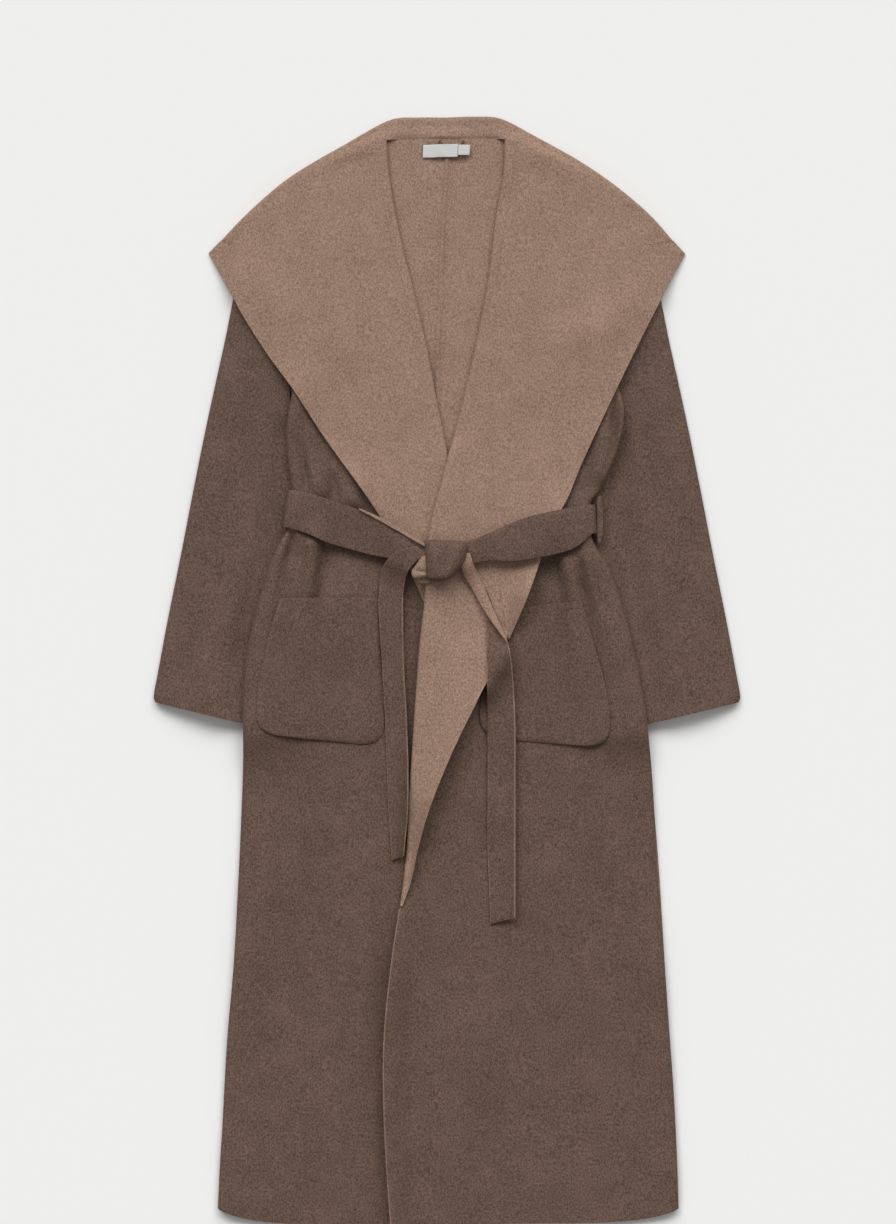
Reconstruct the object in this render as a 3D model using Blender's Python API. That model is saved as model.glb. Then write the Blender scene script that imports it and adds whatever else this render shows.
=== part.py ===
"""A long belted coat of double-faced wool, laid flat on its back with its belt tied.

Every piece of cloth is a grid of points given a thickness. The tables below hold each piece's
outline as sections, in millimetres from the coat's middle line and above its hem. Sides are
the wearer's, so the right half is at -X. Each piece settles on whatever lies below it.
"""

import math

import bmesh
import bpy
import numpy as np

MM = 0.001
CLOTH = 2.4
SEAM = 0.3
LABEL_CLOTH = 1.0
COAT_MIDDLE = 650.5
ROLL_REACH = 2.6
SHOULDER_REACH = 3.6
SIDE_WRAP = 3.0
SLEEVE_DEPTH = 5.2
FOLD_STEPS = 4
LAPEL_ROWS = 2
UNDERARM = 1048.0
HEM_CURVE = 9.0
BACK_HEM_CURVE = 4.8
ROLL_SPRING = 1.4
ROLL_EASE = 32.0

OUTER_WOOL = (0.130, 0.085, 0.066)
INNER_WOOL = (0.310, 0.203, 0.151)
LABEL_WHITE = (0.62, 0.62, 0.60)
WOOL_ROUGHNESS = 0.95

# side_x, side_y, roll_x, roll_y, edge_x, edge_y, rows to the next section
FRONT_RIGHT = (
    (-193, 1216, -74, 1268, -86, 1262, 1),
    (-186, 1165, -66, 1222, -78, 1220, 2),
    (-181, 1090, -53, 1155, -65, 1153, 2),
    (-177, 1029, -38, 1095, -50, 1092, 1),
    (-181, 985, -24, 1035, -48, 1030, 2),
    (-188, 943, -12, 971, -50, 960, 2),
    (-187, 905, 1, 906, -51, 900, 2),
    (-182, 862, 7, 862, -55, 858, 2),
    (-188, 818, 13, 817, -59, 815, 2),
    (-206, 782, 17, 780, -42, 765, 2),
    (-217, 749, 21, 740, -30, 738, 3),
    (-236, 664, 29, 655, -2, 650, 2),
    (-240, 545, 38, 540, 22, 540, 1),
    (-242, 480, 43, 470, 34, 470, 1),
    (-246, 400, 49, 400, 42, 400, 2),
    (-251, 309, 53, 309, 48, 309, 2),
    (-259, 215, 57, 210, 52, 210, 2),
    (-265, 110, 60, 100, 55, 100, 1),
    (-268, 60, 62, 40, 57, 40, 1),
    (-270, 17, 63, -3, 58, -3, 0),
)
FRONT_LEFT = (
    (194, 1216, 70, 1272, 82, 1266, 1),
    (189, 1165, 66, 1235, 78, 1231, 2),
    (185, 1100, 58, 1190, 70, 1187, 2),
    (187, 1045, 47, 1104, 58, 1100, 2),
    (200, 990, 30, 1018, 51, 1012, 2),
    (208, 956, 18, 967, 51, 960, 2),
    (204, 925, 9, 932, 51, 922, 2),
    (193, 890, 1, 904, 52, 885, 1),
    (181, 865, -8, 868, 54, 855, 1),
    (169, 846, -18, 832, 58, 820, 2),
    (171, 806, -24, 800, 61, 785, 2),
    (190, 775, -25, 770, 62, 752, 2),
    (206, 728, -27, 728, 68, 716, 1),
    (214, 700, -31, 695, 71, 690, 2),
    (230, 625, -37, 620, 40, 625, 2),
    (240, 545, -42, 545, 4, 550, 1),
    (244, 490, -46, 490, -20, 490, 1),
    (246, 440, -48, 439, -34, 441, 1),
    (249, 400, -52, 398, -43, 400, 2),
    (256, 309, -65, 309, -60, 309, 2),
    (262, 225, -74, 215, -69, 215, 2),
    (268, 140, -74, 135, -69, 135, 1),
    (271, 75, -71, 70, -66, 70, 1),
    (273, 17, -66, -1, -61, -1, 0),
)
FOLDED_ROWS_RIGHT = 13
FOLDED_ROWS_LEFT = 18

# x, y down the back's middle seam
CENTRE_SEAM = ((0, 1277), (-8, 1155), (-14, 999), (-12, 734), (-6, 380), (0, -2))
# side_x, side_y, mid_x, mid_y, centre_y, rows to the next section
BACK_RIGHT = (
    (-193, 1216, -72, 1269, 1277, 2),
    (-183, 1110, -73, 1120, 1125, 2),
    (-177, 1029, -75, 1030, 1030, 1),
    (-181, 985, -76, 985, 985, 1),
    (-188, 943, -77, 943, 943, 2),
    (-182, 862, -78, 862, 862, 1),
    (-188, 818, -79, 818, 818, 2),
    (-217, 749, -82, 749, 749, 2),
    (-236, 664, -85, 660, 660, 2),
    (-240, 545, -88, 540, 540, 3),
    (-251, 309, -90, 309, 309, 2),
    (-265, 110, -92, 100, 100, 1),
    (-270, 17, -94, -1, -2, 0),
)
BACK_LEFT = (
    (194, 1216, 72, 1269, 1277, 2),
    (186, 1110, 60, 1120, 1125, 2),
    (189, 1035, 58, 1035, 1035, 1),
    (200, 990, 57, 990, 990, 1),
    (207, 950, 57, 950, 950, 2),
    (169, 846, 57, 846, 846, 1),
    (171, 806, 58, 806, 806, 2),
    (206, 728, 62, 728, 728, 2),
    (230, 625, 68, 625, 625, 2),
    (244, 490, 74, 490, 490, 3),
    (259, 270, 80, 270, 270, 2),
    (271, 75, 84, 75, 75, 1),
    (273, 17, 86, -1, -2, 0),
)

# inner_x, inner_y, fold_x, fold_y, fall_x, fall_y
COLLAR_NECK_RIGHT = (
    (0, 1278, 0, 1303, 0, 1029),
    (-32, 1278, -32, 1303, -42, 1031),
    (-60, 1278, -64, 1301, -82, 1037),
    (-89, 1271, -100, 1282, -122, 1048),
)
COLLAR_NECK_LEFT = (
    (0, 1278, 0, 1303, 0, 1029),
    (32, 1278, 32, 1304, 42, 1031),
    (58, 1278, 62, 1302, 82, 1037),
    (87, 1275, 100, 1283, 122, 1048),
)
# inner_y, outer_x, outer_y, fall_x, fall_y; inner_x follows the front's seam
COLLAR_SHOULDER_RIGHT = (
    (1255, -122, 1270, -150, 1058),
    (1232, -152, 1253, -180, 1071),
    (1205, -185, 1232, -208, 1088),
    (1178, -215, 1208, -236, 1110),
    (1150, -243, 1182, -256, 1128),
    (1122, -266, 1158, -270, 1138),
)
COLLAR_SHOULDER_LEFT = (
    (1258, 122, 1271, 150, 1058),
    (1236, 152, 1254, 180, 1071),
    (1209, 185, 1232, 208, 1088),
    (1180, 215, 1209, 236, 1110),
    (1150, 243, 1184, 256, 1128),
    (1122, 266, 1158, 270, 1138),
)
# inner_y, outer_x, outer_y
COLLAR_LAPEL_RIGHT = (
    (1095, -281, 1143),
    (1062, -262, 1108),
    (1030, -240, 1068),
    (990, -212, 1024),
    (950, -180, 980),
    (910, -145, 926),
    (872, -106, 872),
    (843, -77, 830),
)
COLLAR_LAPEL_LEFT = (
    (1095, 281, 1142),
    (1062, 262, 1107),
    (1025, 238, 1060),
    (985, 210, 1004),
    (940, 180, 941),
    (900, 158, 893),
    (865, 141, 852),
    (835, 124, 822),
    (800, 115, 795),
    (765, 102, 758),
    (735, 91, 729),
    (715, 83, 710),
)

# outer_x, outer_y, inner_x, inner_y of the right sleeve, armhole to cuff
SLEEVE = (
    (-198, 1212, -185, 988),
    (-224, 1180, -183, 950),
    (-243, 1125, -180, 905),
    (-262, 1035, -178, 850),
    (-282, 943, -178, 795),
    (-297, 868, -180, 745),
    (-313, 785, -184, 690),
    (-330, 700, -188, 635),
    (-346, 614, -192, 577),
)
SLEEVE_RINGS = 2
SLEEVE_SPAN = (0.0, 0.03, 0.2, 0.4, 0.6, 0.8, 0.97, 1.0)

# left_x, left_y, right_x, right_y, top to bottom
POCKET_RIGHT = (
    (-196, 736, -80, 737),
    (-204, 712, -79, 700),
    (-213, 675, -78, 660),
    (-221, 636, -77, 620),
    (-224, 602, -73, 591),
    (-222, 588, -75, 577),
    (-215, 580, -81, 568),
    (-203, 575, -92, 563),
)
POCKET_LEFT = (
    (50, 722, 158, 733),
    (48, 690, 169, 695),
    (44, 650, 182, 650),
    (40, 615, 189, 618),
    (38, 600, 192, 592),
    (40, 587, 190, 576),
    (47, 577, 183, 566),
    (59, 570, 169, 562),
)

# upper_x, upper_y, lower_x, lower_y, side to knot
BAND_RIGHT = (
    (-182, 863, -188, 819),
    (-160, 859, -165, 812),
    (-137, 851, -140, 801),
    (-112, 843, -115, 794),
    (-85, 831, -92, 788),
    (-60, 817, -66, 782),
    (-40, 805, -45, 774),
    (-22, 797, -24, 764),
    (-6, 794, -6, 766),
)
BAND_LEFT = (
    (169, 846, 171, 812),
    (150, 843, 152, 796),
    (123, 838, 125, 787),
    (97, 832, 99, 782),
    (72, 823, 75, 779),
    (48, 812, 50, 780),
    (28, 804, 30, 777),
    (12, 800, 12, 774),
    (-4, 797, -4, 770),
)
# left_x, left_y, right_x, right_y, knot to end
TAIL_RIGHT = (
    (-38, 793, -18, 777),
    (-58, 784, -32, 768),
    (-73, 765, -43, 757),
    (-80, 738, -49, 735),
    (-79, 700, -51, 695),
    (-76, 655, -50, 652),
    (-73, 600, -48, 600),
    (-71, 545, -46, 545),
    (-69, 490, -46, 490),
    (-65, 427, -51, 433),
)
TAIL_LEFT = (
    (10, 782, 22, 794),
    (24, 766, 36, 776),
    (34, 750, 46, 757),
    (41, 733, 56, 737),
    (45, 708, 66, 704),
    (46, 675, 73, 672),
    (47, 620, 78, 620),
    (48, 560, 80, 560),
    (48, 500, 80, 500),
    (49, 440, 80, 440),
    (50, 395, 80, 395),
    (51, 352, 80, 360),
)
KNOT_CENTRE = (-1.5, 781.0)
KNOT_HALF = (24.0, 25.0)
KNOT_HEIGHT = 17.0
KNOT_SLANT = 0.35
KNOT_SQUARENESS = 0.75
KNOT_CREASE = 0.16
KNOT_CREASE_TURN = 3.2
KNOT_FOOT = 0.12

# inner_x, inner_y, outer_x, outer_y of the strap at the side
LOOP_LEFT = (
    (177.2, 855, 181.0, 857),
    (176.7, 846, 182.7, 847),
    (176.7, 829, 183.5, 829),
    (176.7, 812, 182.7, 811),
    (176.9, 802, 180.5, 800),
)
# near_x, near_y, far_x, far_y of the loop that the coat hangs by
HANGER_LOOP = (
    (-10, 1275, -7, 1276),
    (-7, 1264, -4, 1266),
    (5, 1258, 5, 1261),
    (17, 1264, 14, 1266),
    (21, 1275, 18, 1276),
)
LABEL = ((-28, 1270, -28.5, 1255), (13, 1271, 12.5, 1256))
SIZE_TAB = ((13.5, 1270, 13, 1258), (27, 1270, 26.5, 1258))

# start_x, start_y, end_x, end_y, width, height; full at the start, gone at the end
FOLDS_RIGHT = (
    (-176, 872, -179, 950, 20, 5),
    (-150, 866, -148, 945, 26, 6),
    (-122, 860, -114, 910, 26, 5),
    (-192, 806, -208, 730, 22, 6),
    (-163, 800, -172, 700, 32, 9),
    (-122, 782, -122, 680, 36, 7),
)
FOLDS_LEFT = (
    (178, 880, 200, 965, 20, 6),
    (152, 860, 170, 950, 28, 7),
    (172, 800, 198, 690, 26, 8),
    (143, 786, 152, 700, 26, 8),
    (104, 772, 96, 690, 30, 6),
)
SLEEVE_FOLDS = (
    (-262, 1010, -240, 900, 40, 4),
    (-275, 800, -262, 690, 46, 3),
)


def mirrored(table, pairs):
    """The same table on the other side of the coat; pairs is how many x, y pairs a row has."""
    flip = np.tile([-1.0, 1.0], pairs)
    return [tuple(np.array(row[: 2 * pairs]) * flip) + tuple(row[2 * pairs:]) for row in table]


def curve_rows(table, steps):
    """Points along smooth curves through the table's rows, steps[i] of them after row i."""
    knots = np.array(table, dtype=float)
    spans = np.linalg.norm(np.diff(knots, axis=0), axis=1)
    along = np.concatenate([[0.0], np.cumsum(spans)])
    slopes = np.gradient(knots, along, axis=0)
    rows = []
    for index in range(len(knots) - 1):
        length = along[index + 1] - along[index]
        for step in range(steps[index]):
            t = step / steps[index]
            rows.append(
                (2 * t**3 - 3 * t**2 + 1) * knots[index]
                + (t**3 - 2 * t**2 + t) * length * slopes[index]
                + (3 * t**2 - 2 * t**3) * knots[index + 1]
                + (t**3 - t**2) * length * slopes[index + 1]
            )
    rows.append(knots[-1])
    return np.array(rows)


def spread(start, end, shares):
    """Points between two columns of points, at the given shares of the way."""
    shares = np.asarray(shares)[None, :, None]
    return start[:, None, :] * (1 - shares) + end[:, None, :] * shares


def rounded_hem(flat, shares, curve):
    """Drop the last row of a grid quickly from the side, so that the hem's corner is round."""
    corner = flat[-1, 0, 1]
    level = flat[-1, -1, 1]
    flat[-1, :, 1] = level + (corner - level) * (1 - np.asarray(shares)) ** curve
    return flat


class Heights:
    """The top of everything laid so far, on a raster over the coat."""

    CELL = 3.0
    LEFT = -390.0
    LOW = -60.0
    COLUMNS = 260
    ROWS = 480
    WIDEN = 3
    SOFTEN = 2
    TURNS = 12

    def __init__(self):
        self.top = np.zeros((self.ROWS, self.COLUMNS))

    def copy(self):
        other = Heights()
        other.top = self.top.copy()
        return other

    def join(self, other):
        self.top = np.maximum(self.top, other.top)

    def add(self, points, half, below=None):
        """Raise the raster to the upper side of a grid of middle points."""
        corners = (points[:-1, :-1], points[1:, :-1], points[1:, 1:], points[:-1, 1:])
        reach = max(np.abs(corners[0] - corners[2])[..., :2].max(), self.CELL)
        count = int(reach / self.CELL * 1.5) + 2
        shares = np.linspace(0, 1, count)
        for order in ((0, 1, 2), (0, 2, 3), (0, 1, 3), (1, 2, 3)):
            first, second, third = (corners[k].reshape(-1, 1, 3) for k in order)
            u, v = np.meshgrid(shares, shares)
            inside = u + v <= 1.0 + 1e-9
            u = u[inside][None, :, None]
            v = v[inside][None, :, None]
            samples = (first + u * (second - first) + v * (third - first)).reshape(-1, 3)
            if below is not None:
                samples = samples[samples[:, 1] < below]
            np.maximum.at(self.top, self.cells(samples), samples[:, 2] + half)

    def field(self):
        """The top, widened a little and softened, so that it clears what it covers."""
        field = self.top.copy()
        for axis in (0, 1):
            source = field.copy()
            for shift in range(1, self.WIDEN + 1):
                field = np.maximum(field, np.roll(source, shift, axis))
                field = np.maximum(field, np.roll(source, -shift, axis))
        for axis in (0, 1):
            shifts = range(-self.SOFTEN, self.SOFTEN + 1)
            field = sum(np.roll(field, shift, axis) for shift in shifts) / len(shifts)
        return field

    def cells(self, spots):
        column = np.rint((spots[..., 0] - self.LEFT) / self.CELL).astype(int)
        row = np.rint((spots[..., 1] - self.LOW) / self.CELL).astype(int)
        return row, column

    def under(self, flat):
        """The height that clears everything below a grid of points and its faces."""
        field = self.field()
        level = field[self.cells(flat)]
        index = np.arange(level.size).reshape(level.shape)
        corners = [part.ravel() for part in (index[:-1, :-1], index[1:, :-1], index[1:, 1:], index[:-1, 1:])]
        spots = flat.reshape(-1, 2)
        level = level.ravel()
        longest = np.linalg.norm(spots[corners[0]] - spots[corners[2]], axis=1).max()
        count = int(longest / self.CELL) + 2
        u, v = np.meshgrid(np.linspace(0, 1, count), np.linspace(0, 1, count))
        inside = u + v <= 1.0 + 1e-9
        share = np.stack([1 - u[inside] - v[inside], u[inside], v[inside]])
        strength = (share**2).sum(axis=0)
        triangles = []
        for order in ((0, 1, 2), (0, 2, 3), (0, 1, 3), (1, 2, 3)):
            ends = np.stack([corners[k] for k in order])
            samples = np.einsum("ks,ktd->tsd", share, spots[ends])
            triangles.append((ends, field[self.cells(samples)]))
        for turn in range(self.TURNS):
            lift = np.zeros_like(level)
            for ends, needed in triangles:
                lack = np.clip(needed - np.einsum("ks,kt->ts", share, level[ends]), 0, None)
                room = needed.max(axis=1)
                for k in range(3):
                    ask = (lack * share[k] / strength).max(axis=1)
                    if turn == self.TURNS - 1:
                        ask = np.where(lack.max(axis=1) > 0, room, 0)
                    np.maximum.at(lift, ends[k], np.minimum(ask, room - level[ends[k]]))
            level = level + lift
        return level.reshape(flat.shape[:2])


def settled(heights, flat, thickness=CLOTH):
    """Lift a grid of x, y points onto what is below it, one seam gap clear of it."""
    under = heights.under(flat)
    gap = SEAM * np.clip(under / 0.5, 0, 1)
    return np.concatenate([flat, (under + gap + thickness / 2)[..., None]], axis=2)


def raise_folds(points, folds):
    """Add soft ridges, each highest at its start and fading to its end."""
    for start_x, start_y, end_x, end_y, width, height in folds:
        start = np.array([start_x, start_y], dtype=float)
        way = np.array([end_x, end_y], dtype=float) - start
        length = np.linalg.norm(way)
        way /= length
        offset = points[..., :2] - start
        along = offset @ way / length
        across = np.abs(offset[..., 0] * way[1] - offset[..., 1] * way[0])
        ridge = np.cos(np.clip(across / width, 0, 0.5) * math.pi) ** 2
        fade = np.clip(1 - along, 0, 1) ** 1.5 * np.clip(1 + along * length / 16, 0, 1)
        points[..., 2] += height * ridge * fade
    return points


def wool(name, colour):
    """A matt wool with its own name and colour."""
    material = bpy.data.materials.new(name)
    material.use_nodes = True
    shader = material.node_tree.nodes["Principled BSDF"]
    shader.inputs["Base Color"].default_value = (*colour, 1.0)
    shader.inputs["Roughness"].default_value = WOOL_ROUGHNESS
    shader.inputs["Metallic"].default_value = 0.0
    return material


def add_object(name, shape, colour):
    """Make an object of a finished mesh, shaded smooth, in the coat's frame."""
    for vertex in shape.verts:
        vertex.co.y -= COAT_MIDDLE
        vertex.co *= MM
    bmesh.ops.recalc_face_normals(shape, faces=shape.faces[:])
    mesh = bpy.data.meshes.new(name)
    shape.to_mesh(mesh)
    shape.free()
    mesh.shade_smooth()
    mesh.set_sharp_from_angle(angle=math.radians(40))
    mesh.materials.append(wool(name, colour))
    coat_piece = bpy.data.objects.new(name, mesh)
    bpy.context.scene.collection.objects.link(coat_piece)
    return coat_piece


def cloth(name, points, colour, facing=None, keep=None, ring=False, thickness=CLOTH):
    """Make a closed wall of cloth about a grid of middle points.

    facing holds the way from the middle to one side of the cloth at each point, straight up
    unless given. keep says which faces of the grid are cloth. A ring joins its last column
    to its first.
    """
    rows, columns = points.shape[:2]
    if facing is None:
        facing = np.zeros_like(points)
        facing[..., 2] = 1.0
    shape = bmesh.new()
    side = shape.verts.layers.float_vector.new("side")
    bmesh.ops.create_grid(shape, x_segments=columns - 1, y_segments=rows - 1, size=0.5)
    if keep is not None:
        cut = []
        for face in shape.faces:
            middle = face.calc_center_median()
            column = int((middle.x + 0.5) * (columns - 1))
            row = int((middle.y + 0.5) * (rows - 1))
            if not keep[row, column]:
                cut.append(face)
        bmesh.ops.delete(shape, geom=cut, context="FACES")
    for vertex in shape.verts:
        column = round((vertex.co.x + 0.5) * (columns - 1))
        row = round((vertex.co.y + 0.5) * (rows - 1))
        vertex[side] = facing[row, column] * thickness / 2
        vertex.co = points[row, column]
    if ring:
        bmesh.ops.remove_doubles(shape, verts=shape.verts[:], dist=0.0001)
    for vertex in shape.verts:
        vertex.co += vertex[side]
    sheet = shape.verts[:] + shape.edges[:] + shape.faces[:]
    copied = bmesh.ops.extrude_face_region(shape, geom=sheet, use_keep_orig=True)
    for element in copied["geom"]:
        if isinstance(element, bmesh.types.BMVert):
            element.co -= 2 * element[side]
    return add_object(name, shape, colour)


def turned_edge(inner, outline, low, high, reach):
    """Points and facing round a folded edge, from the low layer up to the high one.

    inner is where both layers end, outline the edge's outermost line. The cloth's facing
    side is inside the fold.
    """
    outward = outline - inner
    outward /= np.linalg.norm(outward, axis=1)[:, None]
    points = []
    facing = []
    for step in range(1, FOLD_STEPS):
        angle = math.pi * step / FOLD_STEPS
        flat = inner + outward * reach * math.sin(angle)
        height = low + (high - low) * (1 - math.cos(angle)) / 2
        points.append(np.concatenate([flat, height[:, None]], axis=1))
        turn = np.concatenate([-outward * math.sin(angle), np.zeros((len(flat), 1))], axis=1)
        turn[:, 2] = math.cos(angle)
        facing.append(turn)
    return np.stack(points, axis=1), np.stack(facing, axis=1)


def face_like(points, z):
    facing = np.zeros_like(points)
    facing[..., 2] = z
    return facing


def shortened(outline, toward, length):
    """Points a given length inside an outline, toward another column of points."""
    way = toward - outline
    return outline + way / np.linalg.norm(way, axis=1)[:, None] * length


BACK_SHARES = (0.0, 0.15, 0.4, 0.7, 1.0)
FRONT_SHARES = (0.0, 0.05, 0.1, 0.15, 0.2, 0.25, 0.3, 0.36, 0.43, 0.52, 0.63, 0.75, 0.88, 1.0)
STRIP_SHARES = (0.0, 0.3, 0.65, 1.0)
COLLAR_SHARES = (0.0, 0.12, 0.3, 0.5, 0.7, 0.88, 1.0)
FALL_SHARES = (0.0, 0.15, 0.5, 1.0)


class Front:
    """One front: the main panel, and the strip turned back over it along the roll line."""

    def __init__(self, name, table, folded_sections, folds):
        self.name = name
        self.folds = folds
        steps = [row[6] for row in table]
        rows = curve_rows([row[:6] for row in table], steps)
        self.folded = sum(steps[:folded_sections])
        self.side = rows[:, 0:2]
        self.roll = rows[:, 2:4]
        self.edge = rows[:, 4:6]
        self.inner = shortened(self.roll, self.side, ROLL_REACH + CLOTH / 2)
        self.inner[self.folded + 1:] = self.roll[self.folded + 1:]

    def seam_x(self, height):
        """Where the collar's seam crosses a height, on the turned strip's edge."""
        return np.interp(height, self.edge[::-1, 1], self.edge[::-1, 0])

    def lay_panel(self, heights):
        flat = rounded_hem(spread(self.side, self.inner, FRONT_SHARES), FRONT_SHARES, HEM_CURVE)
        self.panel = raise_folds(settled(heights, flat), self.folds)
        heights.add(self.panel, CLOTH / 2)

    def lay_strip(self, heights):
        flat = spread(self.inner, self.edge, STRIP_SHARES)
        flat = flat[: self.folded + 1]
        self.strip = settled(heights, flat)
        away = np.linalg.norm(flat - flat[:, :1], axis=2)
        self.strip[..., 2] += ROLL_SPRING * np.clip(1 - away / ROLL_EASE, 0, 1)

    def make(self):
        rows = self.folded + 1
        low = self.panel[:rows, -1, 2]
        high = self.strip[:, 0, 2]
        turn, turn_facing = turned_edge(self.inner[:rows], self.roll[:rows], low, high, ROLL_REACH)
        extra = FOLD_STEPS - 1 + len(STRIP_SHARES)
        total = len(FRONT_SHARES) + extra
        points = np.zeros((len(self.side), total, 3))
        facing = face_like(points, 1.0)
        points[:, : len(FRONT_SHARES)] = self.panel
        points[:, len(FRONT_SHARES):] = self.panel[:, -1:]
        points[:rows, len(FRONT_SHARES): -len(STRIP_SHARES)] = turn
        facing[:rows, len(FRONT_SHARES): -len(STRIP_SHARES)] = turn_facing
        points[:rows, -len(STRIP_SHARES):] = self.strip
        facing[:rows, -len(STRIP_SHARES):, 2] = -1.0
        keep = np.ones((len(self.side) - 1, total - 1), dtype=bool)
        keep[self.folded:, len(FRONT_SHARES) - 1:] = False
        cloth(self.name, points, OUTER_WOOL, facing, keep)


class Collar:
    """One half of the shawl collar: the part that shows, the shoulder fold and the fall."""

    def __init__(self, name, neck, shoulder, lapel, front, sign):
        self.name = name
        rows = [list(row) for row in neck]
        for inner_y, outer_x, outer_y, fall_x, fall_y in shoulder:
            rows.append([front.seam_x(inner_y) + sign * SEAM, inner_y, outer_x, outer_y, fall_x, fall_y])
        self.folded = len(rows) - 1
        for inner_y, outer_x, outer_y in curve_rows(lapel, [LAPEL_ROWS] * len(lapel)):
            seam = front.seam_x(inner_y) + sign * SEAM
            rows.append([seam, inner_y, outer_x, outer_y, outer_x, outer_y])
        rows = np.array(rows, dtype=float)
        rows[0, 0::2] += sign * SEAM / 2
        self.inner = rows[:, 0:2]
        self.outline = rows[:, 2:4]
        self.fall_edge = rows[:, 4:6]
        self.turn = shortened(self.outline, self.inner, SHOULDER_REACH + CLOTH / 2)
        self.turn[self.folded + 1:] = self.outline[self.folded + 1:]
        self.turn[0, 0] = rows[0, 2]

    def lay_fall(self, heights):
        flat = spread(self.turn, self.fall_edge, FALL_SHARES)[: self.folded + 1]
        self.fall = settled(heights, flat)

    def lay_top(self, heights):
        self.top = settled(heights, spread(self.inner, self.turn, COLLAR_SHARES))

    def make(self):
        rows = self.folded + 1
        low = self.fall[:, 0, 2]
        high = self.top[:rows, -1, 2]
        turn, turn_facing = turned_edge(
            self.turn[:rows], self.outline[:rows], low, high, SHOULDER_REACH
        )
        total = len(COLLAR_SHARES) + FOLD_STEPS - 1 + len(FALL_SHARES)
        points = np.zeros((len(self.inner), total, 3))
        facing = face_like(points, -1.0)
        points[:, : len(COLLAR_SHARES)] = self.top
        points[:, len(COLLAR_SHARES):] = self.top[:, -1:]
        points[:rows, len(COLLAR_SHARES): -len(FALL_SHARES)] = turn[:, ::-1]
        facing[:rows, len(COLLAR_SHARES): -len(FALL_SHARES)] = turn_facing[:, ::-1]
        points[:rows, -len(FALL_SHARES):] = self.fall
        facing[:rows, -len(FALL_SHARES):, 2] = 1.0
        keep = np.ones((len(self.inner) - 1, total - 1), dtype=bool)
        keep[self.folded:, len(COLLAR_SHARES) - 1:] = False
        cloth(self.name, points, INNER_WOOL, facing, keep)


def sleeve_points(table, heights, folds):
    """A flattened tube: each ring goes out along the bottom and back along the top."""
    rows = curve_rows(table, [SLEEVE_RINGS] * len(table))
    outer = rows[:, 0:2]
    inner = rows[:, 2:4]
    flat = spread(outer, inner, SLEEVE_SPAN)
    bottom = settled(heights, flat)
    top = bottom.copy()
    top[..., 2] += SLEEVE_DEPTH
    for edge, beside in ((0, 1), (-1, -2)):
        middle = (bottom[:, beside, 2] + top[:, beside, 2]) / 2
        bottom[:, edge, 2] = middle
        top[:, edge, 2] = middle
    top[:, 2:-2] = raise_folds(top[:, 2:-2], folds)
    ring = np.concatenate([bottom, top[:, -2:0:-1], bottom[:, :1]], axis=1)
    facing = np.zeros_like(ring)
    across = outer - inner
    across /= np.linalg.norm(across, axis=1)[:, None]
    span = len(SLEEVE_SPAN)
    facing[:, 1:span - 1, 2] = -1.0
    facing[:, span:-1, 2] = 1.0
    facing[:, 0, :2] = across
    facing[:, -1, :2] = across
    facing[:, span - 1, :2] = -across
    return ring, facing, top


def back_grid(table, sign):
    rows = curve_rows([row[:5] for row in table], [row[5] for row in table])
    seam = curve_rows(CENTRE_SEAM, [12] * len(CENTRE_SEAM))
    centre_x = np.interp(rows[:, 4], seam[::-1, 1], seam[::-1, 0]) + sign * SEAM / 2
    centre = np.stack([centre_x, rows[:, 4]], axis=1)
    outer = spread(rows[:, 0:2], rows[:, 2:4], BACK_SHARES)
    outer = rounded_hem(outer, BACK_SHARES, BACK_HEM_CURVE)[:, :-1]
    inner = spread(rows[:, 2:4], centre, (0.0, 0.5, 1.0))
    return np.concatenate([outer, inner], axis=1)


def strip_grid(table, shares, steps=1):
    rows = curve_rows(table, [steps] * len(table))
    return spread(rows[:, 0:2], rows[:, 2:4], shares)


def wrap_band(points, low, sign):
    """Add the belt's turn round the coat's side, down to its stretch under the back."""
    start = points[0]
    turns = []
    facing = []
    for step in range(FOLD_STEPS, 0, -1):
        angle = math.pi * step / FOLD_STEPS
        turned = start.copy()
        turned[:, 0] += sign * (SIDE_WRAP + CLOTH / 2) * math.sin(angle)
        turned[:, 2] = start[:, 2] + (low - start[:, 2]) * (1 - math.cos(angle)) / 2
        turns.append(turned)
        way = np.zeros_like(start)
        way[:, 0] = sign * math.sin(angle)
        way[:, 2] = math.cos(angle)
        facing.append(way)
    points = np.concatenate([np.array(turns), points])
    facing = np.concatenate([np.array(facing), face_like(points[FOLD_STEPS:], 1.0)])
    return points, facing


def make_knot(heights):
    """The tied knot, a rounded lump of cloth with a slanting wrap over it."""
    shape = bmesh.new()
    bmesh.ops.create_uvsphere(shape, u_segments=18, v_segments=10, radius=1.0)
    centre_x, centre_y = KNOT_CENTRE
    half_x, half_y = KNOT_HALF
    low = np.array([[centre_x - half_x, centre_y - half_y], [centre_x + half_x, centre_y - half_y]])
    high = low + np.array([0.0, 2 * half_y])
    base = settled(heights, np.stack([low, high]))[..., 2].max() - CLOTH / 2
    for vertex in shape.verts:
        x, y, z = vertex.co
        full_x = math.copysign(abs(x) ** KNOT_SQUARENESS, x)
        full_y = math.copysign(abs(y) ** KNOT_SQUARENESS, y)
        narrow = 1 - KNOT_SLANT * max(0.0, -full_y) * max(0.0, full_x)
        crease = 1 - KNOT_CREASE * math.cos(KNOT_CREASE_TURN * (full_x + 0.6 * full_y)) ** 2
        foot = (1 + min(z, 0.0)) * KNOT_FOOT
        vertex.co.x = centre_x + half_x * full_x * narrow
        vertex.co.y = centre_y + half_y * full_y * narrow
        vertex.co.z = base + KNOT_HEIGHT * (max(z, 0.0) * crease + foot)
    add_object("belt_knot", shape, OUTER_WOOL)


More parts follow.
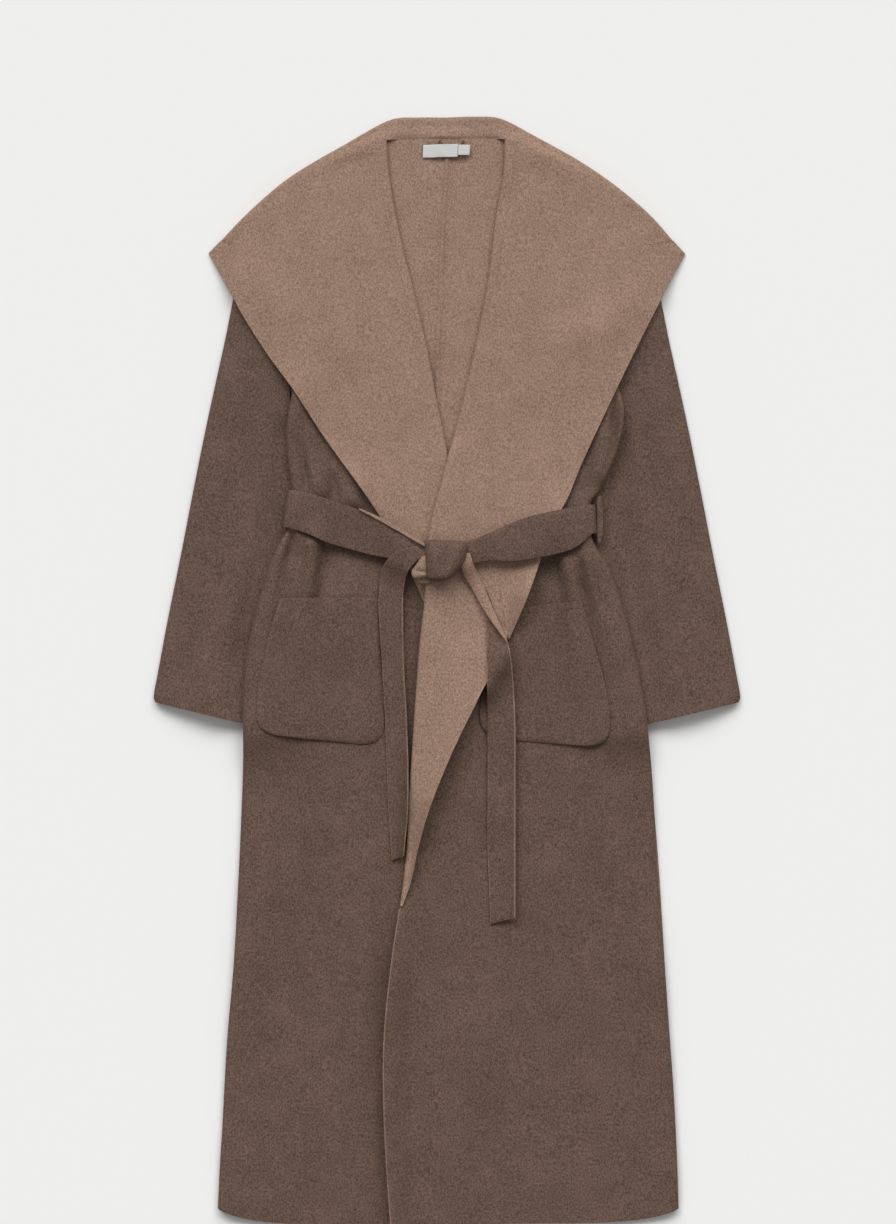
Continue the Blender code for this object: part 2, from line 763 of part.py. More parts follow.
def build_coat():
    floor = Heights()
    front_right = Front("front_right", FRONT_RIGHT, FOLDED_ROWS_RIGHT, FOLDS_RIGHT)
    front_left = Front("front_left", FRONT_LEFT, FOLDED_ROWS_LEFT, FOLDS_LEFT)
    collar_right = Collar(
        "collar_right", COLLAR_NECK_RIGHT, COLLAR_SHOULDER_RIGHT, COLLAR_LAPEL_RIGHT, front_right, -1
    )
    collar_left = Collar(
        "collar_left", COLLAR_NECK_LEFT, COLLAR_SHOULDER_LEFT, COLLAR_LAPEL_LEFT, front_left, 1
    )

    # The collar's falls lie on the floor, and the sleeves on them.
    collar_right.lay_fall(floor)
    collar_left.lay_fall(floor)
    everything = floor.copy()
    everything.add(collar_right.fall, CLOTH / 2)
    everything.add(collar_left.fall, CLOTH / 2)
    body = everything.copy()
    sleeves = []
    for name, table, folds in (
        ("sleeve_right", SLEEVE, SLEEVE_FOLDS),
        ("sleeve_left", mirrored(SLEEVE, 2), mirrored(SLEEVE_FOLDS, 2)),
    ):
        ring, facing, top = sleeve_points(table, body, folds)
        sleeves.append((name, ring, facing, top))
    for name, ring, facing, top in sleeves:
        cloth(name, ring, OUTER_WOOL, facing, ring=True)
        everything.add(top, CLOTH / 2)
        body.add(top, CLOTH / 2, below=UNDERARM)

    # The belt's hidden stretch, then the back over it.
    belt_ends = np.array([[-182, 863, -188, 819], [169, 846, 171, 812]], dtype=float)
    belt_rows = belt_ends[0] + (belt_ends[1] - belt_ends[0]) * np.linspace(0, 1, 15)[:, None]
    belt_rows[0, 0::2] += SEAM
    belt_rows[-1, 0::2] -= SEAM
    belt_back = settled(body, spread(belt_rows[:, 0:2], belt_rows[:, 2:4], (0.0, 0.5, 1.0)))
    cloth("belt_back", belt_back, OUTER_WOOL)
    body.add(belt_back, CLOTH / 2)

    backs = [("back_right", back_grid(BACK_RIGHT, -1)), ("back_left", back_grid(BACK_LEFT, 1))]
    backs = [(name, settled(body, flat)) for name, flat in backs]
    for name, points in backs:
        cloth(name, points, OUTER_WOOL)
        body.add(points, CLOTH / 2)

    # The loop and labels on the back's inside.
    for name, table, shares, colour in (
        ("hanger_loop", HANGER_LOOP, (0.0, 1.0), OUTER_WOOL),
        ("label", LABEL, (0.0, 0.5, 1.0), LABEL_WHITE),
        ("size_tab", SIZE_TAB, (0.0, 1.0), LABEL_WHITE),
    ):
        trim = settled(body, strip_grid(table, shares, 3), LABEL_CLOTH)
        cloth(name, trim, colour, thickness=LABEL_CLOTH)
        body.add(trim, LABEL_CLOTH / 2)

    # The right front with its pocket and lapel, then the left one over it.
    front_right.lay_panel(body)
    pocket = settled(body, strip_grid(POCKET_RIGHT, (0.0, 0.06, 0.25, 0.5, 0.75, 0.94, 1.0)))
    cloth("pocket_right", pocket, OUTER_WOOL)
    body.add(pocket, CLOTH / 2)
    front_right.lay_strip(body)
    under_collar = everything.copy()
    under_collar.join(body)
    collar_right.lay_top(under_collar)
    body.add(front_right.strip, CLOTH / 2)
    front_right.make()
    collar_right.make()

    front_left.lay_panel(body)
    pocket = settled(body, strip_grid(POCKET_LEFT, (0.0, 0.06, 0.25, 0.5, 0.75, 0.94, 1.0)))
    cloth("pocket_left", pocket, OUTER_WOOL)
    body.add(pocket, CLOTH / 2)
    front_left.lay_strip(body)
    under_collar = everything.copy()
    under_collar.join(body)
    collar_left.lay_top(under_collar)
    front_left.make()
    collar_left.make()
    everything.join(body)
    everything.add(front_left.strip, CLOTH / 2)
    everything.add(collar_left.top, CLOTH / 2)
    everything.add(collar_right.top, CLOTH / 2)

    # The belt over all of it, its knot and its tails.
    bands = []
    for name, table, low, sign in (
        ("belt_band_right", BAND_RIGHT, belt_back[0, :, 2], -1),
        ("belt_band_left", BAND_LEFT, belt_back[-1, :, 2], 1),
    ):
        band = settled(everything, strip_grid(table, (0.0, 0.5, 1.0), 2))
        bands.append(band)
        points, facing = wrap_band(band, low, sign)
        cloth(name, points, OUTER_WOOL, facing)
    for band in bands:
        everything.add(band, CLOTH / 2)
    loop = strip_grid(LOOP_LEFT, (0.0, 1.0), 2)
    beside_turn = (bands[1][0, :, 2].mean() + belt_back[-1, :, 2].mean()) / 2
    loop = np.concatenate([loop, np.full(loop.shape[:2] + (1,), beside_turn)], axis=2)
    cloth("belt_loop_left", loop, OUTER_WOOL)
    tails = []
    for name, table in (("belt_tail_right", TAIL_RIGHT), ("belt_tail_left", TAIL_LEFT)):
        tail = settled(everything, strip_grid(table, (0.0, 0.5, 1.0), 2))
        cloth(name, tail, OUTER_WOOL)
        tails.append(tail)
    for tail in tails:
        everything.add(tail, CLOTH / 2)
    make_knot(everything)


for leftover in list(bpy.data.objects):
    bpy.data.objects.remove(leftover)
build_coat()
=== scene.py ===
"""How the belted coat looks: every piece of cloth at full fineness, its wool, and the light.

Tables are in millimetres from the coat's middle line and above its hem. Sides are the wearer's,
so the right half is at -X. Each piece settles on whatever lies below it, in the order sewn and laid.
"""

import math

import bmesh
import bpy
import numpy as np
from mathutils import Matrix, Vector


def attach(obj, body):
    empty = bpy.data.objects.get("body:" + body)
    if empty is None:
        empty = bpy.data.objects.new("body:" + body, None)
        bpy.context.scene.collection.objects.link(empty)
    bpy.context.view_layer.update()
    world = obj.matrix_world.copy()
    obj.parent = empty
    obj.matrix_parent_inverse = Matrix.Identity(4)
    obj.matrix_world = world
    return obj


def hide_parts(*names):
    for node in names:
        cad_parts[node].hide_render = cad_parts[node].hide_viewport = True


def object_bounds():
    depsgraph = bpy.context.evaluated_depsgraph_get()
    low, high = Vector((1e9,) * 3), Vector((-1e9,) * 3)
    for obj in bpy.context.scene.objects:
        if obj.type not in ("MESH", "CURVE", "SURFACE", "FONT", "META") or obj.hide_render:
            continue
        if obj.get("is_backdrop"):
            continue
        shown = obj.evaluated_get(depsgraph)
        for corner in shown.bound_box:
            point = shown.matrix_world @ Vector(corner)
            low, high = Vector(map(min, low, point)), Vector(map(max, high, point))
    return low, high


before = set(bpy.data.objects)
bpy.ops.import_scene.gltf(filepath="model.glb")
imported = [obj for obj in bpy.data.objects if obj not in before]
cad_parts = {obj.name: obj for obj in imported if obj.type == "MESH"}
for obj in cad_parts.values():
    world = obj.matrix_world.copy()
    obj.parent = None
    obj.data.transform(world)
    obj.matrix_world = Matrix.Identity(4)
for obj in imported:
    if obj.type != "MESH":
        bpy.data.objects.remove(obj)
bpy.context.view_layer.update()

# The shawl collar: two halves of double-faced wool joined behind the neck. Each half shows its light
# face, turns over the shoulder and falls under the back, and ends as the outer part of the lapel.
MM = 0.001
CLOTH = 2.4
SEAM = 0.3
COAT_MIDDLE = 650.5
STEP = 7.0
FOLD_STEPS = 8
SHOULDER_REACH = 3.6
UNEVENNESS = 1.2
CRISP_WIDTH = 10
RIM_ROUNDING = 0.3
SHARP_ANGLE = 48

# inner_x, inner_y, fold_x, fold_y, fall_x, fall_y
COLLAR_NECK_RIGHT = (
    (0, 1278, 0, 1303, 0, 1029),
    (-32, 1278, -32, 1303, -42, 1031),
    (-60, 1278, -64, 1301, -82, 1037),
    (-84, 1273.6, -100, 1283, -122, 1048),
)
COLLAR_NECK_LEFT = (
    (0, 1278, 0, 1303, 0, 1029),
    (32, 1278, 32, 1304, 42, 1031),
    (58, 1278.4, 62, 1302, 82, 1037),
    (82, 1275.7, 100, 1283, 122, 1048),
)
# inner_y, outer_x, outer_y, fall_x, fall_y; inner_x follows the front's seam
COLLAR_SHOULDER_RIGHT = (
    (1255, -122, 1270, -150, 1058),
    (1232, -152, 1253, -180, 1071),
    (1205, -185, 1232, -208, 1088),
    (1178, -215, 1208, -236, 1110),
    (1150, -243, 1182, -256, 1128),
    (1122, -266, 1158, -270, 1138),
)
COLLAR_SHOULDER_LEFT = (
    (1258, 122, 1271, 150, 1058),
    (1236, 152, 1254, 180, 1071),
    (1209, 185, 1232, 208, 1088),
    (1180, 215, 1209, 236, 1110),
    (1150, 243, 1184, 256, 1128),
    (1122, 266, 1158, 270, 1138),
)
# inner_y, outer_x, outer_y
COLLAR_LAPEL_RIGHT = (
    (1121, -267, 1157),
    (1100, -278.4, 1145.6),
    (1095, -281, 1143),
    (1091, -278.8, 1138.9),
    (1062, -262, 1108),
    (1030, -240, 1068),
    (990, -212, 1024),
    (950, -180, 980),
    (910, -145, 926),
    (872, -106, 872),
    (840, -84, 840),
    (812, -67, 810),
)
COLLAR_LAPEL_LEFT = (
    (1121, 267, 1157),
    (1100, 278.4, 1144.8),
    (1095, 281, 1142),
    (1091, 278.8, 1138),
    (1062, 262, 1107),
    (1025, 238, 1060),
    (985, 210, 1004),
    (940, 180, 941),
    (900, 158, 893),
    (865, 141, 852),
    (835, 124, 822),
    (800, 115, 795),
    (765, 102, 758),
    (735, 91, 729),
    (715, 83, 710),
    (692, 73, 687),
)
# side_x, side_y, roll_x, roll_y, edge_x, edge_y of each front, shoulder to hem
FRONT_RIGHT = (
    (-193, 1216, -71, 1277, -85, 1273),
    (-186, 1165, -66, 1222, -78, 1220),
    (-181, 1090, -53, 1155, -65, 1153),
    (-177, 1029, -38, 1095, -50, 1092),
    (-181, 985, -24, 1035, -48, 1030),
    (-188, 943, -12, 971, -50, 960),
    (-187, 905, 1, 906, -51, 900),
    (-182, 862, 7, 862, -55, 858),
    (-188, 818, 13, 817, -59, 815),
    (-206, 782, 17, 780, -42, 765),
    (-217, 749, 21, 740, -30, 738),
    (-236, 664, 29, 655, -2, 650),
    (-240, 545, 38, 540, 22, 540),
    (-242, 480, 43, 470, 34, 470),
    (-246, 400, 49, 400, 42, 400),
    (-251, 309, 53, 309, 48, 309),
    (-259, 215, 57, 210, 52, 210),
    (-265, 110, 60, 100, 55, 100),
    (-268, 60, 62, 40, 57, 40),
    (-270, 17, 63, -3, 58, -3),
)
FRONT_LEFT = (
    (194, 1216, 68, 1278, 82, 1275),
    (189, 1165, 66, 1235, 78, 1231),
    (185, 1100, 58, 1190, 70, 1187),
    (187, 1045, 47, 1104, 58, 1100),
    (200, 990, 30, 1018, 51, 1012),
    (208, 956, 18, 967, 51, 960),
    (204, 925, 9, 932, 51, 922),
    (193, 890, 1, 904, 52, 885),
    (181, 865, -8, 868, 54, 855),
    (169, 846, -18, 832, 58, 820),
    (171, 806, -24, 800, 61, 785),
    (190, 775, -25, 770, 62, 752),
    (206, 728, -27, 728, 68, 716),
    (214, 700, -31, 695, 71, 690),
    (230, 625, -37, 620, 40, 625),
    (240, 545, -42, 545, 4, 550),
    (244, 490, -46, 490, -20, 490),
    (246, 440, -48, 439, -34, 441),
    (249, 400, -52, 398, -43, 400),
    (251, 374, -55.5, 374, -52, 374),
    (256, 309, -65, 309, -60, 309),
    (262, 225, -74, 215, -69, 215),
    (268, 140, -74, 135, -69, 135),
    (271, 75, -71, 70, -66, 70),
    (273, 17, -66, -1, -61, -1),
)
FOLDED_ROWS_RIGHT = 13
FOLDED_ROWS_LEFT = 19

# each soft ridge or trough: its path, width, height and where along it is highest, as one share
# of its length or as two, with its full height between them
COLLAR_FOLDS_RIGHT = (
    (((-77, 1259), (-128, 1242), (-170, 1224), (-202, 1206)), 13, -3, 0.2),
    (((-66, 1269), (-120, 1256), (-175, 1236)), 18, 3, 0.3),
    (((-190, 1180), (-170, 1080), (-120, 960)), 60, 4, 0.4),
    (((-110, 1160), (-90, 1040), (-60, 900)), 46, 3, 0.5),
    (((-235, 1150), (-215, 1090), (-180, 1020)), 34, 3, 0.4),
    (((-150, 930), (-106, 872), (-70, 815)), 22, 5, 0.7),
)
COLLAR_FOLDS_LEFT = (
    (((68, 1278), (92, 1273), (113, 1268), (137, 1260)), 5, -3.4, 0.35),
    (((80, 1268), (113, 1260), (150, 1248)), 11, 2.4, 0.4),
    (((76, 1262), (130, 1246), (190, 1214)), 20, 3, 0.3),
    (((190, 1170), (176, 1060), (130, 930)), 60, 4, 0.4),
    (((110, 1180), (100, 1060), (86, 930)), 44, 3, 0.5),
    (((238, 1150), (214, 1080), (184, 1000)), 34, 3, 0.4),
    (((150, 870), (119, 815), (83, 712), (72, 688)), 26, 9, 0.4),
    (((100, 790), (92, 740), (84, 700)), 18, 2, 0.3),
)


def curve_rows(table, step=STEP):
    """Points along smooth curves through the table's rows, and how many lie before each row."""
    knots = np.array(table, dtype=float)
    along = np.concatenate([[0.0], np.cumsum(np.linalg.norm(np.diff(knots, axis=0), axis=1))])
    slopes = np.gradient(knots, along, axis=0)
    pairs = knots.reshape(len(knots), -1, 2)
    longest = np.linalg.norm(np.diff(pairs, axis=0), axis=2).max(axis=1)
    counts = np.maximum(1, np.rint(longest / step)).astype(int)
    rows = []
    for index, count in enumerate(counts):
        length = along[index + 1] - along[index]
        for share in range(count):
            t = share / count
            rows.append(
                (2 * t**3 - 3 * t**2 + 1) * knots[index]
                + (t**3 - 2 * t**2 + t) * length * slopes[index]
                + (3 * t**2 - 2 * t**3) * knots[index + 1]
                + (t**3 - t**2) * length * slopes[index + 1]
            )
    rows.append(knots[-1])
    return np.array(rows), np.concatenate([[0], np.cumsum(counts)])


def spread(start, end, shares):
    """Points between two columns of points, at the given shares of the way."""
    shares = np.asarray(shares)[None, :, None]
    return start[:, None, :] * (1 - shares) + end[:, None, :] * shares


def even(count):
    return np.linspace(0.0, 1.0, count)


def from_start(grid):
    """How far each point of a grid is from the first one of its row, seen from above."""
    return np.linalg.norm(grid[..., :2] - grid[:, :1, :2], axis=2)


def unit(ways):
    return ways / np.linalg.norm(ways, axis=-1)[..., None]


def averaged(level):
    """Each height of a grid set to the middle of its neighbours."""
    wide = np.pad(level, 1, mode="edge")
    return (wide[:-2, 1:-1] + wide[2:, 1:-1] + wide[1:-1, :-2] + wide[1:-1, 2:]) / 4


def fold_heights(spots, folds):
    """Soft ridges and troughs along paths, each fading out to both of its ends."""
    total = np.zeros(spots.shape[:-1])
    for path, width, height, peak in folds:
        corners = np.array(path, dtype=float)
        lengths = np.linalg.norm(np.diff(corners, axis=0), axis=1)
        reached = np.concatenate([[0.0], np.cumsum(lengths)])
        nearest = np.full(total.shape, np.inf)
        share = np.zeros(total.shape)
        for index, length in enumerate(lengths):
            way = (corners[index + 1] - corners[index]) / length
            offset = spots - corners[index]
            along = np.clip(offset @ way, 0, length)
            away = np.linalg.norm(offset - along[..., None] * way, axis=-1)
            closer = away < nearest
            nearest = np.where(closer, away, nearest)
            share = np.where(closer, (reached[index] + along) / reached[-1], share)
        first, last = peak if isinstance(peak, tuple) else (peak, peak)
        rise = np.clip(np.minimum(share / first, (1 - share) / (1 - last)), 0, 1)
        rise = rise * rise * (3 - 2 * rise)
        total += height * rise * np.cos(np.clip(nearest / width, 0, 1) * math.pi / 2) ** 2
    return total


def waves(spots, seed, height):
    """A gentle unevenness, never below nothing, from a few long waves."""
    random = np.random.default_rng(seed)
    total = np.zeros(spots.shape[:-1])
    for turn in range(6):
        angle = random.uniform(0, math.pi)
        way = np.array([math.cos(angle), math.sin(angle)]) * 2 * math.pi / random.uniform(60, 210)
        total += np.sin(spots @ way + random.uniform(0, 2 * math.pi))
    return height * np.clip(total / 3, 0, None)


class Heights:
    """The top of everything laid so far, on a raster over the coat."""

    CELL = 3.0
    LEFT = -390.0
    LOW = -60.0
    COLUMNS = 260
    ROWS = 480

    def __init__(self):
        self.top = np.zeros((self.ROWS, self.COLUMNS))

    def copy(self):
        other = Heights()
        other.top = self.top.copy()
        return other

    def join(self, other):
        self.top = np.maximum(self.top, other.top)

    def add(self, points, half=CLOTH / 2, below=None):
        """Raise the raster to the upper side of a grid of middle points."""
        near = points[:-1]
        far = points[1:]
        for u in np.linspace(0, 1, 5):
            for v in np.linspace(0, 1, 5):
                left = near[:, :-1] * (1 - u) + far[:, :-1] * u
                right = near[:, 1:] * (1 - u) + far[:, 1:] * u
                samples = (left * (1 - v) + right * v).reshape(-1, 3)
                if below is not None:
                    samples = samples[samples[:, 1] < below]
                column = np.rint((samples[:, 0] - self.LEFT) / self.CELL).astype(int)
                row = np.rint((samples[:, 1] - self.LOW) / self.CELL).astype(int)
                np.maximum.at(self.top, (row, column), samples[:, 2] + half)

    def under(self, spots):
        """The height that clears what lies below each of some spots."""
        field = self.top.copy()
        for axis in (0, 1):
            source = field.copy()
            for shift in (-2, -1, 1, 2):
                field = np.maximum(field, np.roll(source, shift, axis))
        for axis in (0, 1):
            field = (np.roll(field, 1, axis) + field + np.roll(field, -1, axis)) / 3
        column = (spots[..., 0] - self.LEFT) / self.CELL
        row = (spots[..., 1] - self.LOW) / self.CELL
        left = np.floor(column).astype(int)
        low = np.floor(row).astype(int)
        u = column - left
        v = row - low
        lower = field[low, left] * (1 - u) + field[low, left + 1] * u
        upper = field[low + 1, left] * (1 - u) + field[low + 1, left + 1] * u
        return lower * (1 - v) + upper * v


def settled(heights, flat, folds=(), thickness=CLOTH, turns=24, seed=None, rise=0.0):
    """Lay a grid of x, y points on what is below it, softly over every step, with its folds.

    The narrow folds stay crisp; the wide ones are smoothed with the cloth.
    """
    wide = [fold for fold in folds if fold[1] >= CRISP_WIDTH]
    crisp = [fold for fold in folds if fold[1] < CRISP_WIDTH]
    under = heights.under(flat)
    under = under + SEAM * np.clip(under / 0.5, 0, 1)
    level = under.copy()
    for turn in range(turns):
        level = np.maximum(under, averaged(level))
    level = level + rise + fold_heights(flat, wide)
    if seed is not None:
        level = level + waves(flat, seed, UNEVENNESS)
    level = np.maximum(under, level)
    for turn in range(2):
        level = np.maximum(under, averaged(level))
    level = np.maximum(under, level + fold_heights(flat, crisp))
    return np.concatenate([flat, (level + thickness / 2)[..., None]], axis=2)


def add_node(tree, kind, **values):
    """A new shader node with some of its inputs set; a _ in an input's name stands for a space."""
    node = tree.nodes.new("ShaderNode" + kind)
    put(node, **values)
    return node


def put(node, **values):
    for name, value in values.items():
        node.inputs[name.replace("_", " ")].default_value = value


def wire(tree, *wires):
    """Link nodes: each wire is a node, its output, the next node and that one's input."""
    for source, output, target, taken in wires:
        tree.links.new(source.outputs[output], target.inputs[taken])


def wool_nap():
    """The heather and nap that every wool here shares: two fibre colours mixed in fine flecks."""
    group = bpy.data.node_groups.new("wool_nap", "ShaderNodeTree")
    face = group.interface
    for name, side, kind in (
        ("Dark", "INPUT", "NodeSocketColor"),
        ("Light", "INPUT", "NodeSocketColor"),
        ("Color", "OUTPUT", "NodeSocketColor"),
        ("Height", "OUTPUT", "NodeSocketFloat"),
    ):
        face.new_socket(name, in_out=side, socket_type=kind)
    given = group.nodes.new("NodeGroupInput")
    result = group.nodes.new("NodeGroupOutput")
    place = add_node(group, "TexCoord")
    brushed = add_node(group, "Mapping", Scale=(0.95, 0.65, 1.0))
    flecks = add_node(group, "TexNoise", Scale=620.0, Detail=3.0, Roughness=0.6)
    clouds = add_node(group, "TexNoise", Scale=38.0, Detail=3.0)
    sharpen = add_node(group, "MapRange", From_Min=0.31, From_Max=0.69)
    drift = add_node(group, "MapRange", From_Min=0.3, From_Max=0.7, To_Min=-0.08, To_Max=0.08)
    share = add_node(group, "Math")
    share.operation = "ADD"
    blend = add_node(group, "Mix")
    blend.data_type = "RGBA"
    wire(
        group,
        (place, "Object", brushed, "Vector"),
        (brushed, "Vector", flecks, "Vector"),
        (place, "Object", clouds, "Vector"),
        (flecks, "Fac", sharpen, "Value"),
        (clouds, "Fac", drift, "Value"),
        (sharpen, "Result", share, 0),
        (drift, "Result", share, 1),
        (share, 0, blend, "Factor"),
        (given, "Dark", blend, "A"),
        (given, "Light", blend, "B"),
        (blend, "Result", result, "Color"),
        (flecks, "Fac", result, "Height"),
    )
    return group


NAP = wool_nap()


def new_material(name):
    """A material, its node tree and its shader."""
    material = bpy.data.materials.new(name)
    material.use_nodes = True
    tree = material.node_tree
    return material, tree, tree.nodes["Principled BSDF"]


def wool(name, dark, light):
    """A brushed, matt wool of two fibre colours, with a soft sheen."""
    material, tree, shader = new_material(name)
    nap = add_node(tree, "Group")
    nap.node_tree = NAP
    put(nap, Dark=(*dark, 1.0), Light=(*light, 1.0))
    bump = add_node(tree, "Bump", Strength=0.35, Distance=0.0008)
    wire(
        tree,
        (nap, "Color", shader, "Base Color"),
        (nap, "Height", bump, "Height"),
        (bump, "Normal", shader, "Normal"),
    )
    put(shader, Roughness=0.95, Specular_IOR_Level=0.15)
    put(shader, Sheen_Weight=0.18, Sheen_Roughness=0.5, Sheen_Tint=(*light, 1.0))
    return material


OUTER = wool("wool_outer", (0.0587, 0.0355, 0.0260), (0.172, 0.112, 0.086))
INNER = wool("wool_inner", (0.174, 0.107, 0.076), (0.374, 0.250, 0.187))


def cloth_shape(
    points, facing, keep=None, ring=False, thickness=CLOTH, outer_rim=True, sewn=(), sewn_top=False
):
    """A closed wall of cloth about a grid of middle points, its thin edges rounded.

    facing holds the way from the middle to the cloth's outer face, which takes the first
    material and the other face the second one. keep says which faces of the grid are cloth.
    A ring joins its last column to its first. The sewn columns, and a sewn top row, stay square
    to meet another piece.
    """
    rows, columns = points.shape[:2]
    sewn = [column % columns for column in sewn]
    shape = bmesh.new()
    stitched = shape.verts.layers.int.new("stitched")
    side = shape.verts.layers.float_vector.new("side")
    bmesh.ops.create_grid(shape, x_segments=columns - 1, y_segments=rows - 1, size=0.5)
    if keep is not None:
        cut = []
        for face in shape.faces:
            middle = face.calc_center_median()
            column = int((middle.x + 0.5) * (columns - 1))
            row = int((middle.y + 0.5) * (rows - 1))
            if not keep[row, column]:
                cut.append(face)
        bmesh.ops.delete(shape, geom=cut, context="FACES")
    for vertex in shape.verts:
        column = round((vertex.co.x + 0.5) * (columns - 1))
        row = round((vertex.co.y + 0.5) * (rows - 1))
        vertex[side] = facing[row, column] * thickness / 2
        vertex[stitched] = int(column in sewn or (sewn_top and row == 0))
        vertex.co = points[row, column]
    if ring:
        bmesh.ops.remove_doubles(shape, verts=shape.verts[:], dist=0.0001)
    for vertex in shape.verts:
        vertex.co += vertex[side]
    sheet = shape.verts[:] + shape.edges[:] + shape.faces[:]
    first = set(shape.faces)
    copied = bmesh.ops.extrude_face_region(shape, geom=sheet, use_keep_orig=True)
    second = {part for part in copied["geom"] if isinstance(part, bmesh.types.BMFace)}
    for element in copied["geom"]:
        if isinstance(element, bmesh.types.BMVert):
            element.co -= 2 * element[side]
    corners = []
    for face in shape.faces:
        if face in second:
            face.material_index = 1
        elif face not in first:
            face.material_index = 0 if outer_rim else 1
            if all(vertex[stitched] for vertex in face.verts):
                continue
            for edge in face.edges:
                if any(other in first or other in second for other in edge.link_faces):
                    corners.append(edge)
    bmesh.ops.bevel(
        shape,
        geom=list(dict.fromkeys(corners)),
        offset=thickness * RIM_ROUNDING,
        segments=2,
        affect="EDGES",
        profile=0.5,
        material=-1,
        clamp_overlap=True,
    )
    return shape


def upward(points, z=1.0):
    facing = np.zeros_like(points)
    facing[..., 2] = z
    return facing


def joined(shapes):
    """One shape of several."""
    whole = shapes[0]
    for shape in shapes[1:]:
        mesh = bpy.data.meshes.new("part")
        shape.to_mesh(mesh)
        shape.free()
        whole.from_mesh(mesh)
        bpy.data.meshes.remove(mesh)
    return whole


def add_object(name, data):
    thing = bpy.data.objects.new(name, data)
    bpy.context.scene.collection.objects.link(thing)
    return thing


def add_piece(node, shapes, materials=(OUTER, INNER)):
    """Make the piece that takes a node's place, in the coat's frame."""
    shape = joined(shapes)
    for vertex in shape.verts:
        vertex.co.y -= COAT_MIDDLE
        vertex.co *= MM
    bmesh.ops.recalc_face_normals(shape, faces=shape.faces[:])
    mesh = bpy.data.meshes.new(node + "_cloth")
    shape.to_mesh(mesh)
    shape.free()
    mesh.shade_smooth()
    mesh.set_sharp_from_angle(angle=math.radians(SHARP_ANGLE))
    for material in materials:
        mesh.materials.append(material)
    piece = add_object(node + "_cloth", mesh)
    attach(piece, "root")
    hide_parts(node)
    return piece


def turned_edge(inner, outline, low, high, reach):
    """Points and facing round a folded edge, from the low layer up to the high one."""
    outward = unit(outline - inner)
    points = []
    facing = []
    for step in range(1, FOLD_STEPS):
        angle = math.pi * step / FOLD_STEPS
        flat = inner + outward * reach * math.sin(angle)
        height = low + (high - low) * (1 - math.cos(angle)) / 2
        points.append(np.concatenate([flat, height[:, None]], axis=1))
        turn = np.concatenate([-outward * math.sin(angle), np.zeros((len(flat), 1))], axis=1)
        turn[:, 2] = math.cos(angle)
        facing.append(turn)
    return np.stack(points, axis=1), np.stack(facing, axis=1)


def folded_sheet(whole, turn, turn_facing, turned, up):
    """Points, facing and kept faces of a sheet whose first rows turn back along its last column.

    up is the way that the main part's outer face looks: 1 for up, -1 for down.
    """
    rows = len(turned)
    first = whole.shape[1]
    last = turned.shape[1]
    points = np.zeros((len(whole), first + turn.shape[1] + last, 3))
    points[:, :first] = whole
    points[:, first:] = whole[:, -1:]
    points[:rows, first:] = np.concatenate([turn, turned], axis=1)
    facing = upward(points, up)
    facing[:rows, first:-last] = turn_facing
    facing[:rows, -last:, 2] = -up
    keep = np.ones((points.shape[0] - 1, points.shape[1] - 1), dtype=bool)
    keep[rows - 1:, first - 1:] = False
    return points, facing, keep


def shortened(outline, toward, length):
    """Points a given length inside an outline, toward another column of points."""
    return outline + unit(toward - outline) * length


def seam_line(table):
    """The turned strip's edge, along which the collar is sewn."""
    rows = curve_rows(table)[0]
    return rows[::-1, 5], rows[::-1, 4]


